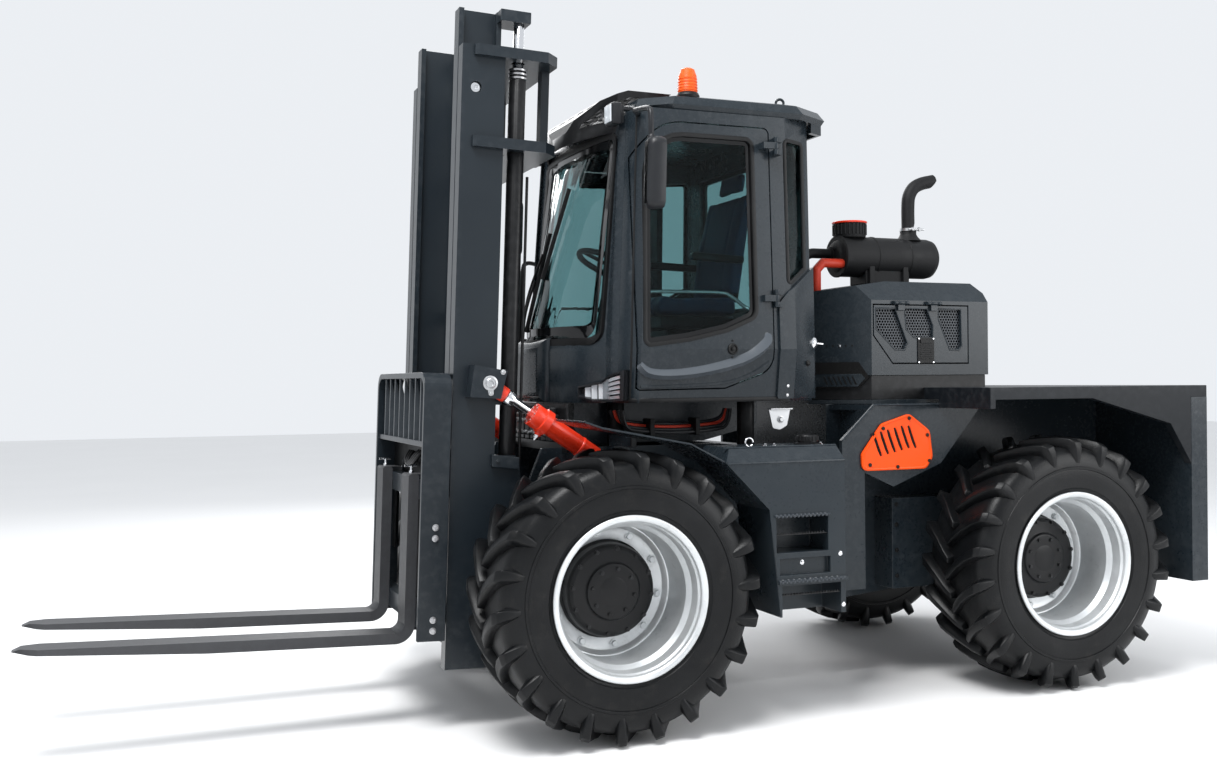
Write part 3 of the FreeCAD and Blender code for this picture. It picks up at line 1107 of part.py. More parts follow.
def tilt_cylinders():
    axis, _ = tilt_line()
    base = Vector(TILT_BASE_X, -TILT_CYL_Y, TILT_BASE_Z)
    half = TILT_EYE_WIDTH / 2
    end = base + axis * TILT_BARREL_LENGTH
    barrel = fused(Part.makeCylinder(TILT_BARREL, TILT_BARREL_LENGTH - TILT_NECK, base + axis * TILT_NECK,
                                     axis),
                   Part.makeCylinder(TILT_BARREL + 8, 46, end - axis * 46, axis),
                   cross_bar(TILT_BASE_X, (-TILT_CYL_Y - half, -TILT_CYL_Y + half), TILT_BASE_Z,
                             TILT_EYE_RADIUS))
    flat = box((TILT_BASE_X - 200, TILT_BASE_X + 200), (-TILT_CYL_Y - half, -TILT_CYL_Y + half),
               (TILT_BASE_Z - 200, TILT_BASE_Z + 200))
    eye = Part.makeCylinder(TILT_EYE_RADIUS, TILT_NECK + 10, base, axis).common(flat)
    barrel = fused(barrel, eye)
    barrel = barrel.cut(Part.makeCylinder(TILT_BORE, TILT_BARREL_LENGTH - TILT_NECK - 75,
                                          base + axis * (TILT_NECK + 30), axis))
    barrel = barrel.cut(Part.makeCylinder(TILT_ROD + SLIDE_GAP, 60, end - axis * 55, axis))
    barrel = barrel.cut(cross_bar(TILT_BASE_X, (-TILT_CYL_Y - 60, -TILT_CYL_Y + 60), TILT_BASE_Z,
                                  TILT_PIN_RADIUS + PIN_GAP))
    return pair(barrel)


def tilt_rods():
    axis, length = tilt_line()
    half = TILT_EYE_WIDTH / 2
    base = Vector(TILT_BASE_X, -TILT_CYL_Y, TILT_BASE_Z)
    tip = base + axis * length
    start = TILT_BARREL_LENGTH - 190
    rod = fused(Part.makeCylinder(TILT_ROD, length - start - 20, base + axis * start, axis),
                Part.makeCylinder(TILT_ROD + 12, 34, tip - axis * (TILT_NECK + 46), axis),
                cross_bar(TILT_EYE_X, (-TILT_CYL_Y - half, -TILT_CYL_Y + half), TILT_EYE_Z,
                          TILT_EYE_RADIUS))
    return pair(rod.cut(cross_bar(TILT_EYE_X, (-TILT_CYL_Y - 60, -TILT_CYL_Y + 60), TILT_EYE_Z,
                                  TILT_PIN_RADIUS + TILT_DRIFT)))


def steer_cylinder(side):
    y, half = side * STEER_Y, STEER_EYE / 2
    x = PIVOT_X + STEER_REAR_DX
    front = x - STEER_BARREL_LENGTH
    body = fused(bar((x - 30, y, STEER_Z), (front, y, STEER_Z), STEER_BARREL),
                 bar((x, y, STEER_Z - half), (x, y, STEER_Z + half), 36))
    body = body.cut(bar((x - 60, y, STEER_Z), (front + 35, y, STEER_Z), STEER_BARREL - 7))
    body = body.cut(bar((x - 60, y, STEER_Z), (front - 5, y, STEER_Z), STEER_ROD + SLIDE_GAP))
    return body.cut(bar((x, y, STEER_Z - 60), (x, y, STEER_Z + 60), TILT_PIN_RADIUS + PIN_GAP))


def steer_rod(side):
    y, half = side * STEER_Y, STEER_EYE / 2
    eye_x = PIVOT_X + STEER_FRONT_DX
    inner_x = PIVOT_X + STEER_REAR_DX - STEER_BARREL_LENGTH + 185
    return fused(bar((eye_x, y, STEER_Z), (inner_x, y, STEER_Z), STEER_ROD),
                 bar((eye_x, y, STEER_Z - half), (eye_x, y, STEER_Z + half), 34))


# ---------------------------------------------------------------- files


def machine():
    nodes = {"front_chassis": front_chassis(), "frame_pins": frame_pins(), "front_axle": front_axle(),
             "cab_base": cab_base(), "cab_mounts": cab_mounts(), "front_fenders": pair(front_fender()),
             "step_boxes": pair(step_box()), "cab_frame": cab_frame(), "cab_glass": cab_glass(),
             "cab_roof": cab_roof(),
             "visor_grille": visor_grille(), "front_cowl": front_cowl(), "lamps": lamps(),
             "mirrors": pair(mirror_arm()), "beacon": beacon(), "cab_seat": cab_seat(),
             "steering_column": steering_column(), "rear_chassis": rear_chassis(), "rear_axle": rear_axle(),
             "rear_pins": rear_pins(), "engine_block": engine_block(), "hood": hood(),
             "hood_base": hood_base(),
             "shoulders": pair(shoulder()), "vent_panels": pair(vent_panel()),
             "side_tanks": pair(side_tank()),
             "rear_deck": rear_deck(), "counterweight": counterweight(), "muffler": muffler(),
             "intake_hose": intake_hose(),
             "outer_mast": outer_mast(), "mast_pins": mast_pins(), "lift_cylinders": lift_cylinders(),
             "inner_mast": inner_mast(), "lift_rods": lift_rods(), "fork_carriage": fork_carriage(),
             "load_backrest": load_backrest(), "forks": Part.makeCompound([fork(-1), fork(1)]),
             "tilt_cylinders": tilt_cylinders(), "tilt_rods": tilt_rods()}
    left_door, left_pane, left_lid = door(), door_glass(), hood_door()
    nodes.update({"left_door": left_door, "right_door": mirrored(left_door), "left_door_glass": left_pane,
                  "right_door_glass": mirrored(left_pane), "left_hood_door": left_lid,
                  "right_hood_door": mirrored(left_lid)})
    for name, side in (("left", -1), ("right", 1)):
        nodes[name + "_steer_cylinder"] = steer_cylinder(side)
        nodes[name + "_steer_rod"] = steer_rod(side)
        for end, axle_x in (("front", 0.0), ("rear", WHEEL_BASE)):
            nodes["%s_%s_tyre" % (end, name)] = tyre(axle_x, side)
            nodes["%s_%s_rim" % (end, name)] = rim(axle_x, side)
    return nodes


def main():
    os.makedirs("parts", exist_ok=True)
    nodes = machine()
    length = [min(s.BoundBox.XMin for s in nodes.values()), max(s.BoundBox.XMax for s in nodes.values())]
    middle = sum(length) / 2
    for node, shape in nodes.items():
        placed = shape.copy()
        placed.translate(Vector(-middle, 0, 0))
        placed.exportStep("parts/%s.step" % node)
        solids = placed.Solids
        state = "ok" if solids and all(s.isValid() for s in solids) else "INVALID"
        print("%-22s %d solids %8.4f m3 %s" % (node, len(solids), placed.Volume / 1e9, state))
    print("front axle to origin %.3f mm, length %.1f mm" % (middle, length[1] - length[0]))


main()
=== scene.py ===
import math
import bmesh
import bpy
from mathutils import Matrix, Vector


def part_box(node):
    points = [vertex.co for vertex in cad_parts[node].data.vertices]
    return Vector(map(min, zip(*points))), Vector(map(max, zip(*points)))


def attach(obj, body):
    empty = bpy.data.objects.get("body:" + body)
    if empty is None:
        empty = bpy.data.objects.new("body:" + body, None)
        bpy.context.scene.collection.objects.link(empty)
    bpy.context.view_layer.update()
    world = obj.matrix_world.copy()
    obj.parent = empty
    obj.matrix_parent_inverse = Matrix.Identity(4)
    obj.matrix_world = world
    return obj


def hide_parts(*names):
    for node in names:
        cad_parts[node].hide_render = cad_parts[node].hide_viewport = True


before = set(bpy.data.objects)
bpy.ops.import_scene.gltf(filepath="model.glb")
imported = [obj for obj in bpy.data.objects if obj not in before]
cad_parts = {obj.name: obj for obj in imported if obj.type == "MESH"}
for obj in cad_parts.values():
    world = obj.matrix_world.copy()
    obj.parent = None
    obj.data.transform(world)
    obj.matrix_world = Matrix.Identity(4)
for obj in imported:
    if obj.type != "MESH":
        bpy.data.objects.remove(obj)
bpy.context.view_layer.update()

# Places are measured as the machine is laid out: x towards the rear from the front axle, y to the
# machine's right, z up from the ground, in metres.  AXLE_X is where the front axle stands in the frame.
AXLE_LOW, AXLE_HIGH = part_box("front_axle")
AXLE_X = (AXLE_LOW[0] + AXLE_HIGH[0]) / 2
TYRE_LOW, TYRE_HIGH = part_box("rear_left_tyre")
WHEEL_BASE = (TYRE_LOW[0] + TYRE_HIGH[0]) / 2 - AXLE_X
TYRE_RADIUS = (TYRE_HIGH[2] - TYRE_LOW[2]) / 2
TYRE_HALF = (TYRE_HIGH[1] - TYRE_LOW[1]) / 2
TRACK_HALF = -(TYRE_HIGH[1] + TYRE_LOW[1]) / 2
SIDES = (("left", -1), ("right", 1))


def at(x, y, z):
    """A place on the machine, in the frame's own coordinates."""
    return Vector((x + AXLE_X, y, z))


# ---------------------------------------------------------------- shader nodes
class Value:
    """A socket of a finish, which can be added to, subtracted from and multiplied."""

    def __init__(self, finish, socket):
        self.finish = finish
        self.socket = socket

    def worked(self, operation, first, second):
        return self.finish.node("ShaderNodeMath", {"operation": operation}, {0: first, 1: second})

    def __add__(self, other):
        return self.worked("ADD", self, other)

    def __sub__(self, other):
        return self.worked("SUBTRACT", self, other)

    def __rsub__(self, other):
        return self.worked("SUBTRACT", other, self)

    def __mul__(self, other):
        return self.worked("MULTIPLY", self, other)

    __radd__ = __add__


# Sockets of a mix node that mixes colours.
MIX_SHARE, MIX_FIRST, MIX_SECOND, MIX_RESULT = 0, 6, 7, 2


class Finish:
    """A material with one surface shader, whose sockets are fed with constants or values."""

    def __init__(self, name, **constants):
        self.material = bpy.data.materials.new(name)
        self.material.use_nodes = True
        self.nodes = self.material.node_tree.nodes
        self.links = self.material.node_tree.links
        self.shader = self.nodes["Principled BSDF"]
        self.set(**constants)

    def feed(self, socket, value):
        if isinstance(value, Value):
            self.links.new(value.socket, socket)
        elif isinstance(value, tuple) and len(value) == 3 and socket.type == "RGBA":
            socket.default_value = (*value, 1.0)
        else:
            socket.default_value = value

    def node(self, kind, settings, inputs, output=0):
        """A new node, set up and fed, as the value of one of its outputs."""
        made = self.nodes.new(kind)
        for name, value in settings.items():
            if name == "stops":
                ramp = made.color_ramp
                while len(ramp.elements) < len(value):
                    ramp.elements.new(0.5)
                for element, (position, shade) in zip(ramp.elements, value):
                    element.position = position
                    element.color = (*shade, 1.0) if isinstance(shade, tuple) else (shade, shade, shade, 1.0)
            else:
                setattr(made, name, value)
        for name, value in inputs.items():
            self.feed(made.inputs[name], value)
        return Value(self, made.outputs[output])

    def set(self, **sockets):
        for name, value in sockets.items():
            self.feed(self.shader.inputs[name.replace("_", " ").title().replace("Ior", "IOR")], value)

    def place(self):
        return self.node("ShaderNodeTexCoord", {}, {}, "Object")

    def noise(self, scale, detail=4.0, roughness=0.55, stretch=None):
        where = self.place()
        if stretch:
            where = self.node("ShaderNodeMapping", {}, {"Vector": where, "Scale": stretch})
        return self.node("ShaderNodeTexNoise", {}, {"Vector": where, "Scale": scale, "Detail": detail,
                                                    "Roughness": roughness})

    def ramp(self, value, *stops):
        return self.node("ShaderNodeValToRGB", {"stops": stops}, {"Fac": value})

    def mix(self, share, first, second):
        return self.node("ShaderNodeMix", {"data_type": "RGBA"},
                         {MIX_SHARE: share, MIX_FIRST: first, MIX_SECOND: second}, MIX_RESULT)

    def height(self):
        """Height above the ground in metres."""
        return self.node("ShaderNodeSeparateXYZ", {}, {"Vector": self.place()}, "Z")

    def worn_edges(self):
        """White along convex edges, black elsewhere."""
        bend = self.node("ShaderNodeNewGeometry", {}, {}, "Pointiness")
        return self.ramp(bend, (0.52, 0.0), (0.60, 1.0))

    def bump(self, height, distance, strength=1.0):
        self.set(Normal=self.node("ShaderNodeBump", {}, {"Height": height, "Distance": distance,
                                                         "Strength": strength}))


DUST = (0.22, 0.205, 0.18)
BARE_METAL = (0.20, 0.21, 0.22)


def painted(name, colour, faded, roughness=0.36, dust=0.10, coat=0.05, shine=0.28, peel=0.00010):
    """Sprayed paint: slow shifts of tone, orange peel, rubbed edges, and dust that gathers low down."""
    finish = Finish(name, coat_weight=coat, coat_roughness=0.18, specular_ior_level=shine)
    cloud = finish.noise(1.1, 6.0, 0.6)
    tone = finish.mix(finish.ramp(cloud, (0.30, 0.0), (0.75, 1.0)), colour, faded)
    low = finish.ramp(finish.height(), (0.25, 1.0), (1.5, 0.25))
    film = low * finish.ramp(finish.noise(5.0, 8.0, 0.68), (0.35, 0.0), (0.95, 1.0)) * dust
    tone = finish.mix(film, tone, DUST)
    rub = finish.worn_edges() * finish.ramp(finish.noise(30.0, 4.0), (0.45, 0.0), (0.70, 1.0)) * 0.10
    tone = finish.mix(rub, tone, BARE_METAL)
    fine = finish.noise(60.0, 3.0)
    finish.set(base_color=tone,
               roughness=roughness + film * 1.2 + (fine - 0.5) * 0.08 + (cloud - 0.5) * 0.10)
    finish.bump(finish.noise(420.0, 2.0), peel)
    return finish.material


def rubber():
    """Tyre rubber, a little dusty."""
    finish = Finish("Tyre rubber", specular_ior_level=0.22)
    cloud = finish.noise(4.0, 6.0, 0.65)
    tone = finish.mix(finish.ramp(cloud, (0.42, 0.0), (0.72, 1.0)), (0.0026, 0.0030, 0.0036),
                      (0.0070, 0.0076, 0.0084))
    dust = finish.ramp(finish.noise(14.0, 8.0, 0.7), (0.55, 0.0), (0.80, 1.0)) * 0.10
    tone = finish.mix(dust, tone, (0.12, 0.11, 0.095))
    finish.set(base_color=tone, roughness=0.28 + cloud * 0.18 + dust * 0.6)
    finish.bump(finish.noise(160.0, 4.0), 0.0007)
    return finish.material


def silver():
    """Silver rim paint with patches of grime."""
    finish = Finish("Rim silver", metallic=0.7, coat_weight=0.10, coat_roughness=0.3)
    cloud = finish.noise(6.0, 5.0)
    tone = finish.mix(finish.ramp(cloud, (0.35, 0.0), (0.7, 1.0)), (0.60, 0.62, 0.63),
                      (0.76, 0.78, 0.79))
    grime = finish.ramp(finish.noise(22.0, 7.0, 0.7), (0.58, 0.0), (0.78, 1.0)) * 0.35
    tone = finish.mix(grime, tone, (0.16, 0.15, 0.14))
    finish.set(base_color=tone, roughness=0.40 + grime * 0.4 + cloud * 0.10)
    finish.bump(finish.noise(500.0, 2.0), 0.00015)
    return finish.material


def bright_steel(name, colour, roughness=0.12, scale=240.0):
    """Turned or plated steel with fine marks."""
    finish = Finish(name, metallic=1.0)
    marks = finish.noise(scale, 3.0, 0.6, (0.2, 0.2, 1.0))
    finish.set(base_color=finish.mix(marks * 0.25, colour, (0.35, 0.35, 0.36)),
               roughness=roughness + marks * 0.12)
    finish.bump(marks, 0.0001, 0.4)
    return finish.material


def forged():
    """Forged steel with scale, bright along its edges."""
    finish = Finish("Fork steel", specular_ior_level=0.22)
    scale = finish.noise(24.0, 8.0, 0.7)
    tone = finish.mix(finish.ramp(scale, (0.40, 0.0), (0.72, 1.0)), (0.0055, 0.0065, 0.0080),
                      (0.015, 0.017, 0.020))
    tone = finish.mix(finish.worn_edges() * 0.5, tone, (0.20, 0.20, 0.21))
    finish.set(base_color=tone, roughness=0.33 + scale * 0.25)
    finish.bump(scale, 0.0006)
    return finish.material


def cast(name, colour, lighter):
    """Rough casting with patches of oil."""
    finish = Finish(name, specular_ior_level=0.25)
    grain = finish.noise(90.0, 5.0, 0.65)
    oil = finish.ramp(finish.noise(5.0, 5.0), (0.5, 0.0), (0.7, 1.0))
    finish.set(base_color=finish.mix(grain, colour, lighter), roughness=0.62 - oil * 0.2)
    finish.bump(grain, 0.0009)
    return finish.material


def glass(name, tint):
    """Tinted pane with faint smears."""
    finish = Finish(name, ior=1.20, transmission_weight=1.0)
    smear = finish.ramp(finish.noise(2.6, 4.0, 0.5, (1.0, 1.0, 0.35)), (0.45, 0.0), (0.75, 1.0))
    darker = tuple(0.85 * c for c in tint)
    finish.set(base_color=finish.mix(smear * 0.6, tint, darker), roughness=0.01 + smear * 0.03)
    return finish.material


def moulded(name, colour, roughness=0.5, grain=0.0004, shine=0.25):
    """Moulded plastic with a fine leather-like grain."""
    finish = Finish(name, specular_ior_level=shine)
    tone = finish.noise(3.0, 4.0)
    lighter = tuple(min(1.0, c * 1.5 + 0.01) for c in colour)
    finish.set(base_color=finish.mix(finish.ramp(tone, (0.4, 0.0), (0.75, 1.0)) * 0.6, colour, lighter),
               roughness=roughness + (tone - 0.5) * 0.15)
    finish.bump(finish.node("ShaderNodeTexVoronoi", {}, {"Vector": finish.place(), "Scale": 420.0}), grain)
    return finish.material


def amber():
    """Ribbed amber lens that glows a little."""
    finish = Finish("Beacon amber", emission_strength=0.02, specular_ior_level=0.25)
    ribs = finish.node("ShaderNodeTexWave", {"bands_direction": "Z"}, {"Vector": finish.place(), "Scale": 55.0})
    tone = finish.mix(ribs, (0.72, 0.060, 0.006), (0.84, 0.125, 0.018))
    finish.set(base_color=tone, emission_color=tone, roughness=0.32 + ribs * 0.1)
    finish.bump(ribs, 0.0008)
    return finish.material


def floor_finish():
    """Pale matt floor."""
    finish = Finish("Studio floor", specular_ior_level=0.2)
    cloud = finish.noise(0.6, 3.0)
    finish.set(base_color=finish.mix(cloud, (0.80, 0.80, 0.80), (0.84, 0.84, 0.84)),
               roughness=0.75 + cloud * 0.1)
    return finish.material


FRAME_PAINT = painted("Anthracite paint", (0.0100, 0.0150, 0.0196), (0.0150, 0.0215, 0.0272),
                      roughness=0.27, dust=0.08)
MAST_PAINT = painted("Mast paint", (0.0090, 0.0132, 0.0176), (0.0130, 0.0184, 0.0235),
                     roughness=0.30, dust=0.04)
BLACK_PAINT = painted("Black paint", (0.0040, 0.0043, 0.0050), (0.0070, 0.0073, 0.0082),
                      roughness=0.36, dust=0.04, shine=0.22)
RED_PAINT = painted("Cylinder red", (0.62, 0.026, 0.008), (0.74, 0.045, 0.014), roughness=0.28, coat=0.12)
ORANGE_PAINT = painted("Vent orange", (0.86, 0.070, 0.0015), (0.94, 0.098, 0.003),
                       roughness=0.36, dust=0.04, shine=0.18)
RUBBER = rubber()
SILVER = silver()
CHROME = bright_steel("Chrome", (0.80, 0.81, 0.83), 0.06)
PIN_STEEL = bright_steel("Pin steel", (0.50, 0.50, 0.51), 0.28)
FORK_STEEL = forged()
AXLE_IRON = cast("Axle casting", (0.014, 0.015, 0.018), (0.030, 0.032, 0.036))
CAB_GLASS = glass("Cab glass", (0.34, 0.50, 0.51))
HOSE_RED = moulded("Red hose", (0.42, 0.030, 0.012), 0.40)
LAMP_PLASTIC = moulded("Lamp plastic", (0.010, 0.011, 0.013), 0.32)
CONSOLE_PLASTIC = moulded("Console plastic", (0.020, 0.021, 0.024), 0.55)
SEAT_COVER = moulded("Cushion cover", (0.020, 0.048, 0.110), 0.55, 0.0009)
GASKET = moulded("Gasket rubber", (0.0022, 0.0024, 0.0028), 0.42)
BORDER = moulded("Window border", (0.0016, 0.0018, 0.0022), 0.10, 0.0, 0.4)
WIPER_BLACK = moulded("Wiper black", (0.0050, 0.0050, 0.0056), 0.45)
# Near-black sheets laid where slots, holes and recesses are: painted shade in the openings.
OPENING_PAINTED_SHADE = moulded("Painted shade in openings", (0.0012, 0.0012, 0.0014), 0.85)
EXHAUST = cast("Exhaust coating", (0.0028, 0.0030, 0.0035), (0.0075, 0.0080, 0.0090))
GALVANIZED = bright_steel("Zinc plate", (0.52, 0.53, 0.54), 0.34, 60.0)
REFLECTOR = moulded("Reflector", (0.52, 0.55, 0.58), 0.12, 0.0, 0.9)
# Lighter copy of the anthracite paint for the door's style line: a painted highlight that stands in for the sky's
# reflection on its upturned face.
DOOR_BAND_PAINTED_HIGHLIGHT = painted("Door band painted highlight", (0.060, 0.070, 0.082), (0.076, 0.087, 0.098), roughness=0.22)
# Copy of the mast paint about three times lighter: painted light on the guard slats' broad faces, which lie in each
# other's shade.
GUARD_SLAT_PAINTED_LIGHT = painted("Guard slat painted light", (0.038, 0.045, 0.052), (0.050, 0.058, 0.066), roughness=0.30)
# Copy of the anthracite paint at about half its lightness: painted shade on the rear deck.
DECK_PAINTED_SHADE = painted("Deck painted shade", (0.0050, 0.0066, 0.0088), (0.0090, 0.0112, 0.0140),
                     roughness=0.42, dust=0.03, shine=0.16)
# Near-black copy of the paint: painted shade under the cab and behind the fork bars.
UNDERSIDE_PAINTED_SHADE = painted("Underside painted shade", (0.0016, 0.0019, 0.0024), (0.0032, 0.0036, 0.0042),
                      roughness=0.50, dust=0.01, shine=0.12)
# About twice as light as the frame paint: painted light on the hood lids' thin mesh wires.
MESH_WIRE = painted("Mesh wire", (0.028, 0.034, 0.042), (0.040, 0.047, 0.056), dust=0.05)
AMBER = amber()

# The carried-over parts that stay in view; the others are drawn again below.
NODE_FINISHES = {
    # Near-black paint on the cab mounts: painted shade under the cab.
    UNDERSIDE_PAINTED_SHADE: ["cab_mounts"],
    # Darkened paint on the rear deck: painted shade.
    DECK_PAINTED_SHADE: ["rear_deck"],
    FRAME_PAINT: ["front_chassis", "cab_base", "front_fenders", "step_boxes", "cab_frame", "cab_roof",
                  "rear_chassis", "hood", "left_hood_door", "right_hood_door", "shoulders", "side_tanks",
                  "counterweight", "left_door", "right_door", "front_cowl"],
    MAST_PAINT: ["outer_mast", "inner_mast", "fork_carriage"],
    BLACK_PAINT: ["visor_grille", "hood_base", "lift_cylinders"],
    RED_PAINT: ["tilt_cylinders", "left_steer_cylinder", "right_steer_cylinder"],
    CHROME: ["lift_rods", "tilt_rods", "left_steer_rod", "right_steer_rod"],
    PIN_STEEL: ["frame_pins", "rear_pins", "mast_pins"],
    FORK_STEEL: ["forks"],
    AXLE_IRON: ["front_axle", "rear_axle", "engine_block"],
    CAB_GLASS: ["cab_glass", "left_door_glass", "right_door_glass"],
    CONSOLE_PLASTIC: ["steering_column"],
    HOSE_RED: ["intake_hose"],
}
SHARP_ANGLE = 32  # degrees between two faces from which on their edge is broken
FLAT_ANGLE = 1.0  # degrees below which two faces are one
WELD_GAP = 0.00005
EDGE_WIDTH = 0.0025
EDGE_WIDTHS = {"forks": 0.004, "counterweight": 0.006, "outer_mast": 0.004, "inner_mast": 0.004,
               "cab_glass": 0.0005, "left_door_glass": 0.0005, "right_door_glass": 0.0005}


def finish_nodes():
    """Gives each carried-over part its finish and breaks its sharp edges."""
    for finish, names in NODE_FINISHES.items():
        for name in names:
            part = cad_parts[name]
            for holder in part.material_slots:
                holder.material = finish
            weld = part.modifiers.new("Weld", "WELD")
            weld.merge_threshold = WELD_GAP
            flat = part.modifiers.new("Flats", "DECIMATE")
            flat.decimate_type = "DISSOLVE"
            flat.angle_limit = math.radians(FLAT_ANGLE)
            breaking(part, EDGE_WIDTHS.get(name, EDGE_WIDTH)).harden_normals = True


# ---------------------------------------------------------------- modelling
def deselect():
    if bpy.context.object and bpy.context.object.mode != "OBJECT":
        bpy.ops.object.mode_set(mode="OBJECT")
    bpy.ops.object.select_all(action="DESELECT")


def choose(piece):
    """Leaves this piece as the only one selected, and makes it active."""
    deselect()
    piece.select_set(True)
    bpy.context.view_layer.objects.active = piece


def named(name):
    """The primitive that was just added, under its name."""
    piece = bpy.context.object
    piece.name = name
    piece.data.name = name
    return piece


def fix(piece):
    """Puts the piece's place into its mesh."""
    choose(piece)
    bpy.ops.object.transform_apply(location=True, rotation=True, scale=True)
    return piece


SAME_POINT = 0.00001


def drawn(name, rings, closed=False):
    """A form drawn out from ring to ring, capped at both ends or joined up into a loop."""
    deselect()
    bpy.ops.mesh.primitive_circle_add(vertices=len(rings[0]), fill_type="NOTHING" if closed else "NGON")
    piece = named(name)
    bpy.ops.object.mode_set(mode="EDIT")
    bpy.ops.mesh.select_all(action="SELECT")
    for index, ring in enumerate(rings):
        if index and closed:
            bpy.ops.mesh.extrude_edges_move()
        elif index:
            bpy.ops.mesh.extrude_region_move()
        mesh = bmesh.from_edit_mesh(piece.data)
        for corner, point in zip([v for v in mesh.verts if v.select], ring):
            corner.co = point
        bmesh.update_edit_mesh(piece.data)
    bpy.ops.mesh.select_all(action="SELECT")
    bpy.ops.mesh.remove_doubles(threshold=SAME_POINT)
    bpy.ops.mesh.normals_make_consistent(inside=False)
    bpy.ops.object.mode_set(mode="OBJECT")
    return piece


def turned(name, profile, steps=72):
    """A closed profile of (y, radius) points, turned about the Y axis through the origin."""
    rings = []
    for y, radius in profile + profile[:1]:
        rings.append([Vector((radius * math.cos(turn), y, radius * math.sin(turn)))
                      for turn in (math.tau * step / steps for step in range(steps))])
    return drawn(name, rings, closed=True)


def copy_of(piece, shift=(0, 0, 0), turn=None):
    """A copy with its own mesh, turned about the origin and then moved."""
    twin = piece.copy()
    twin.data = piece.data.copy()
    bpy.context.collection.objects.link(twin)
    matrix = Matrix.Translation(Vector(shift))
    if turn:
        matrix = matrix @ turn
    twin.data.transform(matrix)
    return twin


def joined(name, pieces):
    deselect()
    for piece in pieces:
        piece.select_set(True)
    bpy.context.view_layer.objects.active = pieces[0]
    bpy.ops.object.join()
    return named(name)


def smooth(piece, angle=35):
    choose(piece)
    bpy.ops.object.shade_smooth_by_angle(angle=math.radians(angle))
    return piece


def breaking(piece, width, segments=2, angle=SHARP_ANGLE):
    """A modifier that breaks the piece's sharp edges."""
    edge = piece.modifiers.new("Edges", "BEVEL")
    edge.width = width
    edge.segments = segments
    edge.limit_method = "ANGLE"
    edge.angle_limit = math.radians(angle)
    return edge


def bevel(piece, width, segments=2, angle=SHARP_ANGLE):
    edge = breaking(piece, width, segments, angle)
    choose(piece)
    bpy.ops.object.modifier_apply(modifier=edge.name)
    return piece


def finished(piece, finish, body, slot, *nodes):
    """Gives a piece its finish and its body, and hides the parts it stands for. The slot is not used."""
    piece.data.materials.clear()
    piece.data.materials.append(finish)
    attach(piece, body)
    if nodes:
        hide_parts(*nodes)
    return piece


# ---------------------------------------------------------------- wheels
LUGS = 22
LUG_HEIGHT = 0.036
CROWN_RADIUS = TYRE_RADIUS - LUG_HEIGHT
REAR_SPIN = 0.21  # radians by which the rear wheels are turned on


def carcass():
    """Tyre body: beads, bulging walls with their rings, rounded shoulders and a low crown."""
    bead, half = 0.180, TYRE_HALF - 0.006
    wall = [(bead, 0.305), (bead, 0.334), (bead + 0.006, 0.345), (bead + 0.010, 0.347), (bead + 0.011, 0.356),
            (half - 0.003, 0.385), (half, 0.425), (half - 0.001, 0.430), (half + 0.003, 0.432),
            (half + 0.003, 0.442), (half - 0.001, 0.444), (half - 0.002, 0.462), (half - 0.012, 0.500),
            (half - 0.030, 0.522), (half - 0.060, CROWN_RADIUS - 0.010), (0.07, CROWN_RADIUS - 0.001)]
    return turned("carcass", [(-y, r) for y, r in wall] + [(y, r) for y, r in wall[::-1]], steps=120)


def lug():
    """One bar of the tread, from just past the middle line out over the shoulder and down the wall."""
    top, low = TYRE_RADIUS, CROWN_RADIUS
    stations = [  # foot y and radius, face y and radius, distance round the tyre, half widths of face and foot
        (-0.016, low - 0.004, -0.010, top - 0.006, -0.012, 0.012, 0.022),
        (0.020, low - 0.004, 0.022, top, 0.018, 0.016, 0.027),
        (0.075, low - 0.004, 0.075, top, 0.066, 0.018, 0.030),
        (0.125, low - 0.008, 0.130, top - 0.002, 0.104, 0.019, 0.032),
        (0.165, low - 0.020, 0.176, top - 0.008, 0.128, 0.021, 0.034),
        (0.180, low - 0.040, 0.200, top - 0.024, 0.138, 0.021, 0.033),
        (0.186, low - 0.062, TYRE_HALF, top - 0.052, 0.142, 0.018, 0.028),
        (0.190, low - 0.074, TYRE_HALF, top - 0.080, 0.143, 0.014, 0.021),
        (0.194, low - 0.088, 0.200, top - 0.106, 0.144, 0.009, 0.013)]
    rings = []
    for foot_y, foot_r, face_y, face_r, along, face_half, foot_half in stations:
        ring = []
        for y, radius, offset in ((foot_y, foot_r, -foot_half), (face_y, face_r, -face_half),
                                  (face_y, face_r, face_half), (foot_y, foot_r, foot_half)):
            turn = (along + offset) / TYRE_RADIUS
            ring.append(Vector((radius * math.sin(turn), y, radius * math.cos(turn))))
        rings.append(ring)
    return bevel(drawn("lug", rings), 0.0035, 2, 25)


def tyre():
    """Left tyre at the origin: the carcass with its two rows of lugs, half a pitch apart."""
    right = lug()
    left = copy_of(right, turn=Matrix.Scale(-1, 4, (0, 1, 0)))
    left.data.flip_normals()
    bars = []
    for index in range(LUGS):
        bars.append(copy_of(right, turn=Matrix.Rotation(math.tau * index / LUGS, 4, "Y")))
        bars.append(copy_of(left, turn=Matrix.Rotation(math.tau * (index + 0.5) / LUGS, 4, "Y")))
    bpy.data.objects.remove(right)
    bpy.data.objects.remove(left)
    return smooth(joined("tyre", [carcass()] + bars), 40)


